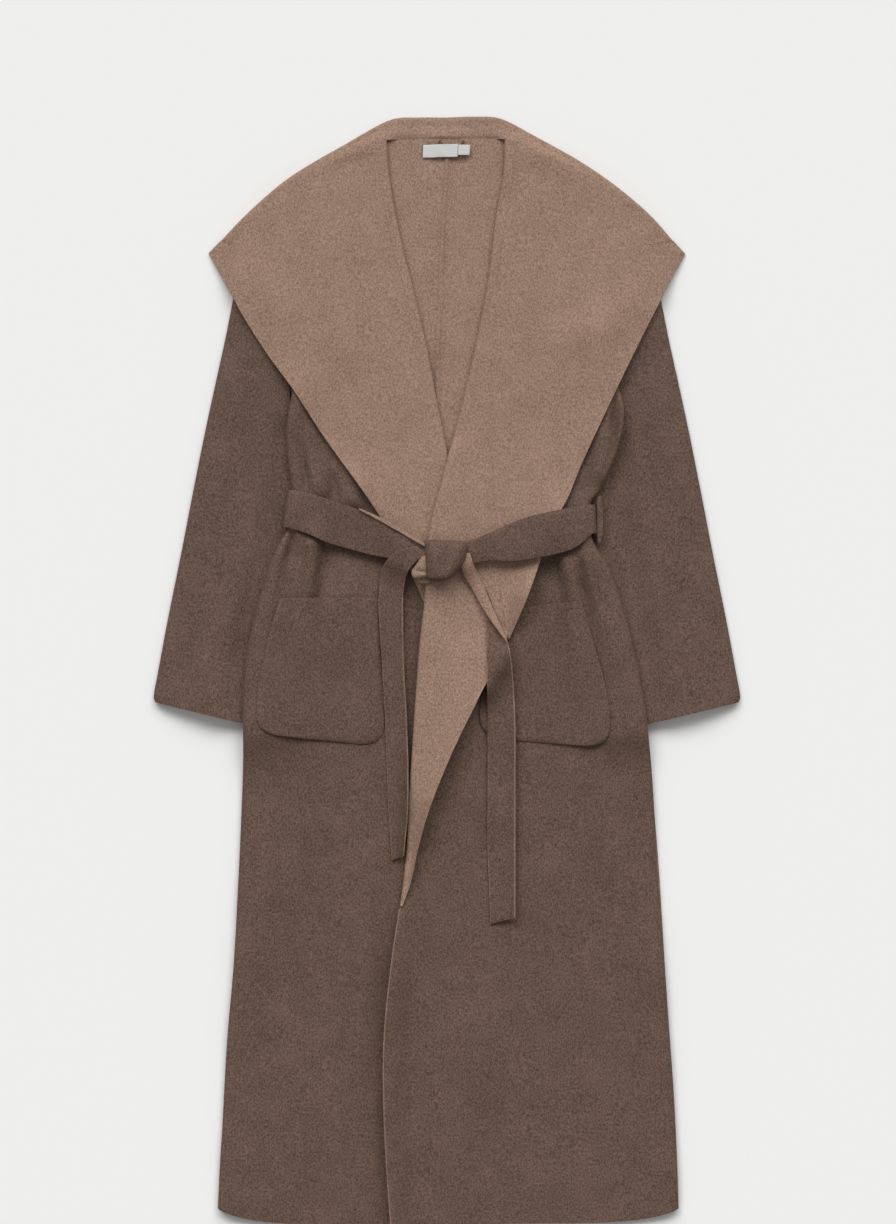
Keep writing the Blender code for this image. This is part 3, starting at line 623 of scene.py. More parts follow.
class Collar:
    """One half of the shawl collar: the part that shows, the shoulder fold and the fall."""

    TOP_SHARES = np.concatenate([[0.0, 0.007, 0.015, 0.026, 0.042], np.linspace(0.07, 1.0, 30)])
    FALL_SHARES = even(30)
    NECK_HALF = 62
    NECK_EASE = 12
    NECK_FADE = 11
    # the axis moved, and how far down the neck's edge it is
    NECK_SHIFTS = ((1, 1262), (2, 1240))
    TIP_EASE = 38
    SEWN_EASE = 12

    def __init__(self, neck, shoulder, lapel, seam, sign):
        rows = [list(row) for row in neck]
        for inner_y, outer_x, outer_y, fall_x, fall_y in shoulder:
            rows.append([np.interp(inner_y, *seam), inner_y, outer_x, outer_y, fall_x, fall_y])
        last = len(rows) - 1
        for inner_y, outer_x, outer_y in lapel:
            rows.append([np.interp(inner_y, *seam), inner_y, outer_x, outer_y, outer_x, outer_y])
        rows, starts = curve_rows(rows)
        self.folded = starts[last]
        beside = rows[:, 1] < seam[0][-1]
        rows[beside, 0] = np.interp(rows[beside, 1], *seam) + sign * 0.03
        rows[0, 0::2] += sign * 0.02
        self.inner = rows[:, 0:2]
        self.outline = rows[:, 2:4]
        self.fall_edge = rows[:, 4:6]
        self.turn = shortened(self.outline, self.inner, SHOULDER_REACH + CLOTH / 2)
        self.turn[self.folded + 1:] = self.outline[self.folded + 1:]
        self.turn[0, 0] = rows[0, 2]

    def lay_fall(self, heights):
        flat = spread(self.turn, self.fall_edge, self.FALL_SHARES)[: self.folded + 1]
        self.fall = settled(heights, flat)

    def lay_top(self, heights, folds, seed):
        flat = spread(self.inner, self.turn, self.TOP_SHARES)
        self.top = settled(heights, flat, folds, seed=seed)

    def shapes(self):
        rows = self.folded + 1
        low = self.fall[:, 0, 2]
        high = self.top[:rows, -1, 2]
        edges = self.turn[:rows], self.outline[:rows]
        turn, facing = turned_edge(*edges, low, high, SHOULDER_REACH)
        sheet = folded_sheet(self.top, turn[:, ::-1], facing[:, ::-1], self.fall, -1.0)
        return [cloth_shape(*sheet, sewn=(0,))]

    def seat_neck(self, back, strip):
        """Bring the neck's edge onto that of the back and the strip, where they are sewn."""
        sewn_to = np.concatenate([back[np.abs(back[:, 0]) < self.NECK_HALF], strip])
        sewn_to = sewn_to[np.argsort(sewn_to[:, 0])]
        near = np.clip(1 - from_start(self.top) / self.NECK_EASE, 0, 1)
        for axis, low in self.NECK_SHIFTS:
            wanted = np.interp(self.inner[:, 0], sewn_to[:, 0], sewn_to[:, axis])
            fade = np.clip((self.inner[:, 1] - low) / self.NECK_FADE, 0, 1)
            shift = (wanted - self.top[:, 0, axis]) * fade
            self.top[..., axis] += shift[:, None] * near**2

    def press_tip(self, heights):
        """Let the lapel's point lie down on what is below it."""
        ground = heights.under(self.top[..., :2]) + SEAM + CLOTH / 2
        tip = self.outline[np.argmax(np.abs(self.outline[:, 0]))]
        away = np.linalg.norm(self.top[..., :2] - tip, axis=2)
        self.top[..., 2] -= (self.top[..., 2] - ground) * np.exp(-((away / self.TIP_EASE) ** 2))

    def meet(self, strip):
        """Bring the turned strip's edge to the height of this piece's, where the two are sewn."""
        along = self.top[:, 0, :]
        order = np.argsort(along[:, 1])
        height = np.interp(strip[:, -1, 1], along[order, 1], along[order, 2])
        reach = np.clip((strip[:, -1, 1] - along[order[0], 1]) / self.SEWN_EASE, 0, 1)
        lift = (height - strip[:, -1, 2]) * reach
        share = np.linspace(0, 1, strip.shape[1]) ** 2
        strip[..., 2] += lift[:, None] * share[None, :]


floor = Heights()
collar_right = Collar(
    COLLAR_NECK_RIGHT, COLLAR_SHOULDER_RIGHT, COLLAR_LAPEL_RIGHT, seam_line(FRONT_RIGHT), -1
)
collar_left = Collar(
    COLLAR_NECK_LEFT, COLLAR_SHOULDER_LEFT, COLLAR_LAPEL_LEFT, seam_line(FRONT_LEFT), 1
)
collar_right.lay_fall(floor)
collar_left.lay_fall(floor)
everything = floor.copy()
everything.add(collar_right.fall)
everything.add(collar_left.fall)
body = everything.copy()

# The sleeves: wide, straight tubes of the same wool with the dark face out, pressed flat. Each one
# drops from the shoulder and runs in under the coat's side.
SLEEVE_DEPTH = 5.2
SLEEVE_RISE = 3.0
CUFF_RISE = 9.5
UNDERARM = 1048.0
HALF_TURNED = 0.7
# outer_x, outer_y, inner_x, inner_y of the right sleeve, armhole to cuff
SLEEVE = (
    (-198, 1212, -185, 988),
    (-224, 1180, -183, 950),
    (-243, 1125, -180, 905),
    (-262, 1035, -178, 850),
    (-282, 943, -178, 795),
    (-297, 868, -180, 745),
    (-313, 785, -184, 690),
    (-330, 700, -188, 635),
    (-341.5, 638, -190.5, 595),
    (-343.8, 626, -191, 586),
    (-344.6, 618, -191.6, 580),
    (-342.8, 613.2, -192, 577),
)
SLEEVE_FOLDS = (
    (((-261, 1041), (-249, 970), (-254, 887)), 22, 5, 0.4),
    (((-266, 935), (-277, 828), (-284, 734)), 26, 4, 0.3),
    (((-291, 828), (-303, 734), (-310, 628)), 22, 4, 0.6),
    (((-244, 828), (-249, 734), (-261, 616)), 18, 4, 0.5),
    (((-194, 960), (-192, 860), (-215, 760), (-241, 664), (-244, 560)), 34, -5, (0.1, 0.9)),
)


def sleeve_points(table, heights, folds, seed):
    """A flattened tube: each ring goes out along the bottom and back along the top."""
    rows = curve_rows(table)[0]
    outer = rows[:, 0:2]
    inner = rows[:, 2:4]
    spans = np.concatenate([[0.0, 0.012], np.linspace(0.03, 0.97, 26), [0.988, 1.0]])
    flat = spread(outer, inner, spans)
    bottom = settled(heights, flat)
    top = bottom.copy()
    top[..., 2] += SLEEVE_DEPTH
    puff = fold_heights(flat, folds) + waves(flat, seed, UNEVENNESS)
    down = even(len(rows))[:, None]
    puff += (SLEEVE_RISE + CUFF_RISE * down**3) * np.sin(spans * math.pi)[None, :] ** 0.6
    top[:, 2:-2, 2] += np.clip(puff, -2, None)[:, 2:-2]
    for edge, beside, share in ((0, 2, 0.5), (1, 2, 0.15), (-1, -3, 0.5), (-2, -3, 0.15)):
        low = bottom[:, beside, 2].copy()
        high = top[:, beside, 2].copy()
        bottom[:, edge, 2] = low + (high - low) * share
        top[:, edge, 2] = high - (high - low) * share
    ring = np.concatenate([bottom, top[:, -2:0:-1], bottom[:, :1]], axis=1)
    facing = np.zeros_like(ring)
    across = unit(outer - inner)
    span = len(spans)
    facing[:, 1:span - 1, 2] = -1.0
    facing[:, span:-1, 2] = 1.0
    for column, sign in ((0, 1), (-1, 1), (span - 1, -1)):
        facing[:, column, :2] = across * sign
    for column, sign, up in ((1, 1, -1), (-2, 1, 1), (span - 2, -1, -1), (span, -1, 1)):
        facing[:, column, :2] = across * sign * HALF_TURNED
        facing[:, column, 2] = up * HALF_TURNED
    return ring, facing, top


# the left sleeve is the right one's mirror image, but goes in further under the coat's side
sleeve_left = [[-outer_x, outer_y, -inner_x, inner_y] for outer_x, outer_y, inner_x, inner_y in SLEEVE]
for index, inner_x in ((3, 170), (4, 171), (5, 176)):
    sleeve_left[index][2] = inner_x
folds_left = []
for path, width, height, peak in SLEEVE_FOLDS:
    folds_left.append(([(-x, y - 12) for x, y in path], width, height, peak))
tubes = []
for node, table, folds, seed in (
    ("sleeve_right", SLEEVE, SLEEVE_FOLDS, 11),
    ("sleeve_left", sleeve_left, folds_left, 12),
):
    tubes.append((node, *sleeve_points(table, body, folds, seed)))
for node, ring, facing, top in tubes:
    piece = add_piece(node, [cloth_shape(ring, facing, ring=True)])
    everything.add(top)
    body.add(top, below=UNDERARM)

# The belt's hidden stretch: a double-faced strip of the same wool that passes under the back and
# meets the front stretches where they turn down round the coat's sides.
belt_ends = np.array([[-182, 863, -188, 819], [169, 846, 171, 812]], dtype=float)
belt_rows = belt_ends[0] + (belt_ends[1] - belt_ends[0]) * even(52)[:, None]
belt_rows[0, 0::2] += SEAM
belt_rows[-1, 0::2] -= SEAM
belt_back = settled(body, spread(belt_rows[:, 0:2], belt_rows[:, 2:4], even(8)))
piece = add_piece("belt_back", [cloth_shape(belt_back, upward(belt_back, -1.0))])
body.add(belt_back)

# The back: two long panels of the same wool, joined down the middle by a seam that stands a little
# proud. They lie light face up and show inside the neck.
CENTRE_SEAM = ((0, 1290), (-8, 1155), (-14, 999), (-12, 734), (-6, 380), (0, -30))
SEAM_RIDGE_OFFSET = 2.5
SEAM_RIDGE_WIDTH = 5.2
SEAM_RIDGE_HEIGHT = 2.6
BACK_HEM_CURVE = 4.8
# side_x, side_y, mid_x, mid_y, centre_y
BACK_RIGHT = (
    (-193, 1216, -72, 1276.8, 1277.4),
    (-183, 1110, -73, 1120, 1125),
    (-177, 1029, -75, 1030, 1030),
    (-181, 985, -76, 985, 985),
    (-188, 943, -77, 943, 943),
    (-182, 862, -78, 862, 862),
    (-188, 818, -79, 818, 818),
    (-217, 749, -82, 749, 749),
    (-236, 664, -85, 660, 660),
    (-240, 545, -88, 540, 540),
    (-251, 309, -90, 309, 309),
    (-265, 110, -92, 100, 100),
    (-270, 17, -94, -1, -2),
)
BACK_LEFT = (
    (194, 1216, 72, 1277.6, 1277.4),
    (186, 1110, 60, 1120, 1125),
    (189, 1035, 58, 1035, 1035),
    (200, 990, 57, 990, 990),
    (207, 950, 57, 950, 950),
    (169, 846, 57, 846, 846),
    (171, 806, 58, 806, 806),
    (206, 728, 62, 728, 728),
    (230, 625, 68, 625, 625),
    (244, 490, 74, 490, 490),
    (259, 270, 80, 270, 270),
    (271, 75, 84, 75, 75),
    (273, 17, 86, -1, -2),
)


def rounded_hem(flat, shares, curve, rows=9):
    """Drop the last rows of a grid quickly from the side, so that the hem's corner is round."""
    corner = flat[-1, 0, 1]
    level = flat[-1, -1, 1]
    rounded = level + (corner - level) * (1 - np.asarray(shares)) ** curve
    drop = flat[-1, :, 1] - rounded
    for row in range(rows):
        flat[row - rows, :, 1] -= drop * ((row + 1) / rows) ** 2
    return flat


def back_grid(table, sign):
    rows = curve_rows([row + row[-1:] for row in table])[0]
    seam = curve_rows(CENTRE_SEAM)[0]
    centre_x = np.interp(rows[:, 4], seam[::-1, 1], seam[::-1, 0]) + sign * 0.02
    centre = np.stack([centre_x, rows[:, 4]], axis=1)
    outer = spread(rows[:, 0:2], rows[:, 2:4], even(20))
    outer = rounded_hem(outer, even(20), BACK_HEM_CURVE)[:, :-1]
    shares = np.concatenate([np.linspace(0, 0.9, 10), [0.925, 0.945, 0.965, 0.985, 1.0]])
    return np.concatenate([outer, spread(rows[:, 2:4], centre, shares)], axis=1)


backs = []
seam_path = [(x + SEAM_RIDGE_OFFSET, y) for x, y in CENTRE_SEAM]
seam_ridge = (seam_path, SEAM_RIDGE_WIDTH, SEAM_RIDGE_HEIGHT, (0.01, 0.99))
for node, table, sign, seed in (
    ("back_right", BACK_RIGHT, -1, 21),
    ("back_left", BACK_LEFT, 1, 22),
):
    points = settled(body, back_grid(table, sign), seed=seed)
    points[..., 2] += fold_heights(points[..., :2], [seam_ridge])
    backs.append((node, points))
right_seam = backs[0][1][:, -1]
left_seam = backs[1][1][:, -1]
lift = np.interp(left_seam[:, 1], right_seam[::-1, 1], right_seam[::-1, 2]) - left_seam[:, 2]
backs[1][1][:, -5:, 2] += lift[:, None] * np.linspace(0.2, 1.0, 5)
for node, points in backs:
    shape = cloth_shape(points, upward(points, -1.0), sewn=(-1,), sewn_top=True)
    piece = add_piece(node, [shape])
    body.add(points)

# Inside the neck: a narrow loop of the wool that the coat hangs by, and a bare woven label with its
# small tab, all sewn on at the neck's edge.
LABEL_CLOTH = 1.0
# near_x, near_y, far_x, far_y of the loop
HANGER_LOOP = (
    (-10, 1275, -7, 1276),
    (-7, 1264, -4, 1266),
    (5, 1258, 5, 1261),
    (17, 1264, 14, 1266),
    (21, 1275, 18, 1276),
)
LABEL = ((-28, 1270, -28.5, 1255), (13, 1271, 12.5, 1256))
SIZE_TAB = ((13.5, 1270, 13, 1258), (27, 1270, 26.5, 1258))


def woven(name, colour):
    """A smooth, tightly woven tape with fine threads across it."""
    material, tree, shader = new_material(name)
    place = add_node(tree, "TexCoord")
    threads = add_node(tree, "TexWave", Scale=700.0, Distortion=0.6)
    bump = add_node(tree, "Bump", Strength=0.4, Distance=0.0002)
    wire(
        tree,
        (place, "Object", threads, "Vector"),
        (threads, "Fac", bump, "Height"),
        (bump, "Normal", shader, "Normal"),
    )
    put(shader, Base_Color=(*colour, 1.0), Roughness=0.6)
    return material


def ribbon(table, step, shares):
    """A grid of points between the two edges that a table gives."""
    rows = curve_rows(table, step)[0]
    return spread(rows[:, 0:2], rows[:, 2:4], shares)


LABEL_WHITE = woven("label_white", (0.56, 0.56, 0.545))
for node, table, columns, material, slot in (
    ("hanger_loop", HANGER_LOOP, 3, OUTER, "wool_outer"),
    ("label", LABEL, 6, LABEL_WHITE, "label_cloth"),
    ("size_tab", SIZE_TAB, 5, LABEL_WHITE, "label_cloth"),
):
    trim = settled(body, ribbon(table, 3.0, even(columns)), thickness=LABEL_CLOTH)
    shape = cloth_shape(trim, upward(trim), thickness=LABEL_CLOTH)
    add_piece(node, [shape], (material, material))
    body.add(trim, LABEL_CLOTH / 2)

# The right front, of the same wool, dark face up. It turns back on itself at the roll line, so its
# light face shows as the inner strip of the lapel. A patch pocket is sewn on below the belt.
SIDE_RISE = 10.0
SIDE_WALL = 3.5
SIDE_EASE = 34
ROLL_REACH = 2.6
ROLL_SPRING = 1.4
ROLL_EASE = 32.0
ENDING_ROWS = 9
ENDING_SINK = 0.7
HEM_CURVE = 9.0
EDGE_LEAN = 0.6
EDGE_UP = 0.8
POCKET_EASE = 0.055
POCKET_SINK = 2.35
POCKET_FOOT = (0.3, 1.4)
# left_x, left_y, right_x, right_y of a pocket, top to bottom
POCKET_RIGHT = (
    (-196, 736, -80, 737),
    (-204, 712, -79, 700),
    (-213, 675, -78, 660),
    (-221, 636, -77, 620),
    (-224, 602, -73, 591),
    (-222, 588, -75, 577),
    (-215, 580, -81, 568),
    (-203, 575, -92, 563),
)
FOLDS_RIGHT = (
    (((-192, 852), (-195, 887), (-188, 935), (-194, 976)), 16, 6, 0.1),
    (((-182, 940), (-171, 911), (-166, 880), (-166, 857)), 7, -7, 0.8),
    (((-150, 846), (-152, 887), (-164, 929), (-173, 970)), 20, 10, 0.1),
    (((-132, 846), (-133, 870), (-138, 905)), 7, -6, 0.3),
    (((-112, 838), (-114, 864), (-129, 905)), 22, 9, 0.1),
    (((-159, 817), (-158, 781), (-164, 734), (-176, 663)), 17, 14, 0.12),
    (((-145, 809), (-144, 793), (-151, 741), (-164, 701)), 8, -9, 0.25),
    (((-181, 822), (-184, 794), (-190, 763)), 7, -8, 0.3),
    (((-114, 799), (-123, 746), (-138, 687), (-148, 616)), 36, 8, 0.35),
    (((-192, 817), (-202, 769), (-216, 687), (-223, 592)), 16, 8, 0.1),
    (((-85, 781), (-88, 710), (-84, 616)), 18, 5, 0.3),
    (((-173, 545), (-185, 427), (-209, 262)), 40, 6, 0.3),
    (((-114, 522), (-112, 380), (-120, 191)), 46, 5, 0.4),
    (((-145, 560), (-150, 400), (-152, 250)), 18, -3, 0.4),
    (((-218, 439), (-232, 286), (-244, 120)), 30, 5, 0.5),
    (((-173, 262), (-166, 144), (-173, 14)), 44, 5, 0.6),
    (((-80, 430), (-98, 300), (-107, 200), (-106, 100), (-98, 0), (-94, -60)), 29, 8, (0.25, 0.97)),
)


def closing(rows):
    """One, falling to nothing over a strip's last rows."""
    return np.clip(np.arange(rows)[::-1] / ENDING_ROWS, 0, 1)[:, None]


def tip_edge(facing, inward):
    """Lean an edge's facing inward, so that the cloth's light layer shows along it."""
    facing[:, :2] = unit(inward) * EDGE_LEAN
    facing[:, 2] = EDGE_UP


class Front:
    """One front: the main panel, and the strip turned back over it along the roll line."""

    PANEL_SHARES = np.concatenate([[0.0, 0.008, 0.02], np.linspace(0.035, 1.0, 62)])
    STEP = 4.5
    STRIP_SHARES = np.concatenate([np.linspace(0.0, 0.9, 10), [0.94, 0.965, 0.985, 1.0]])

    def __init__(self, table, folded_sections):
        rows, starts = curve_rows(table, self.STEP)
        self.folded = starts[folded_sections]
        self.side = rows[:, 0:2]
        self.roll = rows[:, 2:4]
        self.edge = rows[:, 4:6]
        self.inner = shortened(self.roll, self.side, ROLL_REACH + CLOTH / 2)
        self.inner[self.folded + 1:] = self.roll[self.folded + 1:]

    def lay_panel(self, heights, folds, seed):
        flat = spread(self.side, self.inner, self.PANEL_SHARES)
        flat = rounded_hem(flat, self.PANEL_SHARES, HEM_CURVE)
        away = from_start(flat)
        rise = SIDE_RISE * (1 - np.exp(-away / SIDE_WALL)) * np.exp(-away / SIDE_EASE)
        self.panel = settled(heights, flat, folds, seed=seed, rise=rise)
        edge = self.panel[:, 0, 2]
        for column, share in ((1, 0.6), (2, 0.92)):
            steep = edge + (self.panel[:, 3, 2] - edge) * share
            self.panel[:, column, 2] = np.maximum(self.panel[:, column, 2], steep)
        heights.add(self.panel)

    def lay_strip(self, heights):
        flat = spread(self.inner, self.edge, self.STRIP_SHARES)[: self.folded + 1]
        self.strip = settled(heights, flat)
        whole = closing(len(flat))
        self.strip[..., 2] += ROLL_SPRING * whole * np.clip(1 - from_start(flat) / ROLL_EASE, 0, 1)
        self.strip[..., 2] -= ENDING_SINK * CLOTH * (1 - whole)

    def shapes(self):
        rows = self.folded + 1
        low = self.panel[:rows, -1, 2]
        high = self.strip[:, 0, 2]
        turn, facing = turned_edge(self.inner[:rows], self.roll[:rows], low, high, ROLL_REACH)
        points, facing, keep = folded_sheet(self.panel, turn, facing, self.strip, 1.0)
        free_edge = len(self.PANEL_SHARES) - 1
        tip_edge(facing[rows:, free_edge], self.side[rows:] - self.roll[rows:])
        return [cloth_shape(points, facing, keep, outer_rim=False, sewn=(-1,), sewn_top=True)]


def lay_pocket(node, table, heights, under):
    """Lay a patch pocket on its front and make it."""
    side = np.array([0.0, 0.008, 0.018, 0.03, 0.045])
    shares = np.concatenate([side, np.linspace(0.07, 0.93, 22), 1 - side[::-1]])
    points = settled(heights, ribbon(table, 6.0, shares), turns=6)
    sink = np.clip(1 - np.minimum(shares, 1 - shares) / POCKET_EASE, 0, 1) ** 1.4
    points[..., 2] -= POCKET_SINK * sink[None, :]
    points[-2:, :, 2] -= np.array(POCKET_FOOT)[:, None]
    piece = add_piece(node, [cloth_shape(points, upward(points))])
    heights.add(points)


def lay_half(front, folds, seed, pocket, collar, collar_folds, back):
    """Lay one front and its pocket, then the lapel that is sewn along its strip."""
    front.lay_panel(body, folds, seed)
    lay_pocket(*pocket)
    front.lay_strip(body)
    under = everything.copy()
    under.join(body)
    collar.lay_top(under, collar_folds, seed + 10)
    collar.press_tip(under)
    collar.seat_neck(back[0], front.strip[0])
    collar.meet(front.strip)


front_right = Front(FRONT_RIGHT, FOLDED_ROWS_RIGHT)
pocket = ("pocket_right", POCKET_RIGHT, body, "front_right_cloth")
lay_half(front_right, FOLDS_RIGHT, 31, pocket, collar_right, COLLAR_FOLDS_RIGHT, backs[0][1])
body.add(front_right.strip)
piece = add_piece("front_right", front_right.shapes())
piece = add_piece("collar_right", collar_right.shapes())

# The left front laps over the right one. Its lapel reaches down past the belt, and a patch pocket
# lies half under the end of the lapel.
POCKET_LEFT = (
    (50, 722, 158, 733),
    (48, 690, 169, 695),
    (44, 650, 182, 650),
    (40, 615, 189, 618),
    (38, 600, 192, 592),
    (40, 587, 190, 576),
    (47, 577, 183, 566),
    (59, 570, 169, 562),
)
FOLDS_LEFT = (
    (((228, 1053), (221, 982), (206, 923), (188, 864)), 22, 9, 0.6),
    (((199, 1005), (197, 966), (195, 910), (185, 876)), 7, -8, 0.5),
    (((178, 864), (178, 911), (181, 958)), 14, 8, 0.2),
    (((118, 787), (120, 763), (124, 734)), 8, -7, 0.2),
    (((139, 795), (145, 758), (155, 687), (162, 616)), 14, 10, 0.1),
    (((124, 789), (132, 746), (129, 727)), 7, -6, 0.25),
    (((155, 790), (160, 745), (170, 700)), 6, -6, 0.25),
    (((162, 799), (171, 755), (188, 687), (195, 616)), 15, 12, 0.1),
    (((116, 734), (129, 699), (140, 663)), 8, -6, 0.4),
    (((169, 781), (181, 734), (195, 687)), 7, -6, 0.3),
    (((86, 775), (86, 710), (98, 616)), 20, 5, 0.25),
    (((181, 545), (195, 427), (216, 262)), 38, 6, 0.3),
    (((116, 533), (119, 380), (133, 191)), 46, 5, 0.4),
    (((150, 560), (157, 400), (168, 240)), 18, -3, 0.4),
    (((228, 427), (240, 286), (245, 144)), 26, 5, 0.5),
    (((39, 380), (32, 238), (37, 50)), 50, 5, 0.5),
    (((-50, 440), (-66, 309), (-75, 215), (-75, 135), (-67, -1), (-62, -60)), 38, 15, (0.3, 0.97)),
    (((-10, 790), (-17, 695), (-27, 580), (-38, 450)), 24, 8, (0.15, 0.8)),
)
# the pressed seam down the lapel, which stands a little proud
LAPEL_RIDGE = (
    (58, 1100), (51, 1012), (51, 960), (51, 922), (52, 885), (54, 855),
    (58, 820), (61, 785), (62, 752), (68, 716), (71, 690),
)
RIDGE_WIDTH = 3.2
RIDGE_HEIGHT = 1.1
# below the belt the free edges of the strip and of the lapel's end stand off the front
EDGE_LIFT = 18.0
LIFT_REACH = 34
LIFT_WIDTH = 16

front_left = Front(FRONT_LEFT, FOLDED_ROWS_LEFT)
pocket = ("pocket_left", POCKET_LEFT, body, "front_left_cloth")
lay_half(front_left, FOLDS_LEFT, 32, pocket, collar_left, COLLAR_FOLDS_LEFT, backs[1][1])
ridge = (LAPEL_RIDGE, RIDGE_WIDTH, RIDGE_HEIGHT, (0.05, 0.95))
for points, start, shares in (
    (front_left.strip, 700, front_left.STRIP_SHARES),
    (collar_left.top, 772, collar_left.TOP_SHARES),
):
    points[..., 2] += fold_heights(points[..., :2], [ridge])
    free = closing(len(points)) * np.clip(from_start(points)[:, -1:] / LIFT_WIDTH, 0, 1)
    free = free * np.clip((start - points[:, -1:, 1]) / LIFT_REACH, 0, 1)
    points[..., 2] += EDGE_LIFT * free * shares[None, :] ** 2
piece = add_piece("front_left", front_left.shapes())
piece = add_piece("collar_left", collar_left.shapes())
everything.join(body)
everything.add(front_left.strip)
everything.add(collar_left.top)
everything.add(collar_right.top)

# The belt's two stretches in front, a double-faced strip with the dark face out. Each turns down
# round the coat's side to meet the hidden stretch. A thin loop holds it at the left side.
SIDE_WRAP = 3.0
BAND_RISE = 7.5
FULL_RISE_AT = 0.625
BAND_ROUND = 1.6
# upper_x, upper_y, lower_x, lower_y, side to knot
BAND_RIGHT = (
    (-182, 863, -188, 819),
    (-160, 859, -165, 812),
    (-137, 851, -140, 801),
    (-112, 843, -115, 794),
    (-85, 831, -92, 788),
    (-60, 817, -66, 782),
    (-40, 805, -45, 774),
    (-22, 797, -24, 764),
    (-6, 794, -6, 766),
)
BAND_LEFT = (
    (169, 846, 171, 812),
    (150, 843, 152, 796),
    (123, 838, 125, 787),
    (97, 832, 99, 782),
    (72, 823, 75, 779),
    (48, 812, 50, 780),
    (28, 804, 30, 777),
    (12, 800, 12, 774),
    (-4, 797, -4, 770),
)
# the light face that the right stretch shows along its upper edge, near the knot
LIP_CLOTH = 1.4
BAND_LIP = (
    (-103, 841.5, -103, 839.5),
    (-85, 834.0, -86, 830.6),
    (-60, 820.3, -61, 816.6),
    (-40, 808.3, -41, 805.0),
    (-25, 799.0, -26, 796.6),
)
# inner_x, inner_y, outer_x, outer_y of the loop at the side
LOOP_LEFT = (
    (177.2, 855, 181.0, 857),
    (176.7, 846, 182.7, 847),
    (176.7, 829, 183.5, 829),
    (176.7, 812, 182.7, 811),
    (176.9, 802, 180.5, 800),
)


def wrap_band(points, low, sign):
    """Add the belt's turn round the coat's side, down to its stretch under the back."""
    start = points[0, :, :2]
    beyond = start + np.array([sign, 0.0])
    turn, facing = turned_edge(start, beyond, low, points[0, :, 2], SIDE_WRAP + CLOTH / 2)
    foot = np.concatenate([start, low[:, None]], axis=1)[None]
    wrapped = np.concatenate([foot, turn.transpose(1, 0, 2), points])
    ways = np.concatenate([upward(foot, -1.0), -facing.transpose(1, 0, 2), upward(points)])
    return wrapped, ways


bands = []
for node, table, low, sign in (
    ("belt_band_right", BAND_RIGHT, belt_back[0, :, 2], -1),
    ("belt_band_left", BAND_LEFT, belt_back[-1, :, 2], 1),
):
    band = settled(everything, ribbon(table, 5.0, even(8)), turns=10)
    away = np.clip(even(len(band))[:, None] / FULL_RISE_AT, 0, 1)
    band[..., 2] += BAND_RISE * np.sin(away * math.pi / 2) ** 2
    band[..., 2] += BAND_ROUND * np.sin(even(8) * math.pi)[None, :]
    bands.append(band)
    points, facing = wrap_band(band, low, sign)
    shapes = [cloth_shape(points, facing)]
    if sign < 0:
        over = everything.copy()
        over.add(band)
        lip = settled(over, ribbon(BAND_LIP, 5.0, even(4)), thickness=LIP_CLOTH, turns=0)
        shapes.append(cloth_shape(lip, upward(lip, -1.0), thickness=LIP_CLOTH, outer_rim=False))
    add_piece(node, shapes)
for band in bands:
    everything.add(band)
loop = ribbon(LOOP_LEFT, 4.0, even(4))
beside_turn = (bands[1][0, :, 2].mean() + belt_back[-1, :, 2].mean()) / 2
loop = np.concatenate([loop, np.full(loop.shape[:2] + (1,), beside_turn)], axis=2)
shape = cloth_shape(loop, upward(loop))
loop_piece = add_piece("belt_loop_left", [shape])

# The belt's two tails hang from the knot. The left one leaves it light face up and turns over in a
# long twist before its dark face shows.
TAIL_CURL = 7.5
CURL_REACH = 30
TWIST_ROUND = 1.5
# left_x, left_y, right_x, right_y, knot to end
TAIL_RIGHT = (
    (-36, 797, -24, 788),
    (-60, 790, -35, 780),
    (-75, 774, -46, 768),
    (-80, 745, -51, 748),
    (-79, 700, -52, 705),
    (-76, 655, -51, 652),
    (-73, 600, -48, 600),
    (-71, 545, -46, 545),
    (-69, 490, -46, 490),
    (-65, 427, -51, 433),
)
# the left tail's light, twisted start, then its dark length
TAIL_TWIST = (
    (14, 789, 27, 789),
    (16, 774, 31, 776),
    (22, 759, 38, 761),
    (31, 744, 45, 746),
    (40, 727, 53, 727),
    (51, 710, 60, 711),
    (61, 696, 66, 697),
    (69, 685.6, 70.8, 686.2),
)
TAIL_LEFT = (
    (37, 748, 48, 746),
    (44, 732, 55, 727),
    (47, 708, 66, 699),
    (47, 681, 72, 681),
    (47, 640, 77, 645),
    (48, 581, 80, 583),
    (48, 517, 80, 517),
    (48, 439, 80, 439),
    (50, 392, 80, 389),
    (51, 352, 80, 360),
)

tails = []
for node, table, start, area in (
    ("belt_tail_right", TAIL_RIGHT, 790, 0.0125),
    ("belt_tail_left", TAIL_LEFT, 700, 0.0165),
):
    tail = settled(everything, ribbon(table, 6.0, even(8)), turns=10)
    below = np.clip((start - tail[:, :1, 1]) / CURL_REACH, 0, 1)
    tail[..., 2] += TAIL_CURL * below * even(8)[None, :] ** 2
    tails.append(tail)
    facing = upward(tail)
    tip_edge(facing[:, -1], tail[:, 4, :2] - tail[:, -1, :2])
    shapes = [cloth_shape(tail, facing, outer_rim=False)]
    if node == "belt_tail_left":
        over = everything.copy()
        over.add(tail)
        twist = settled(over, ribbon(TAIL_TWIST, 5.0, even(8)), turns=6)
        twist[..., 2] += TWIST_ROUND * np.sin(even(8) * math.pi)[None, :]
        shapes.append(cloth_shape(twist, upward(twist, -1.0), outer_rim=False))
    piece = add_piece(node, shapes)
for tail in tails:
    everything.add(tail)

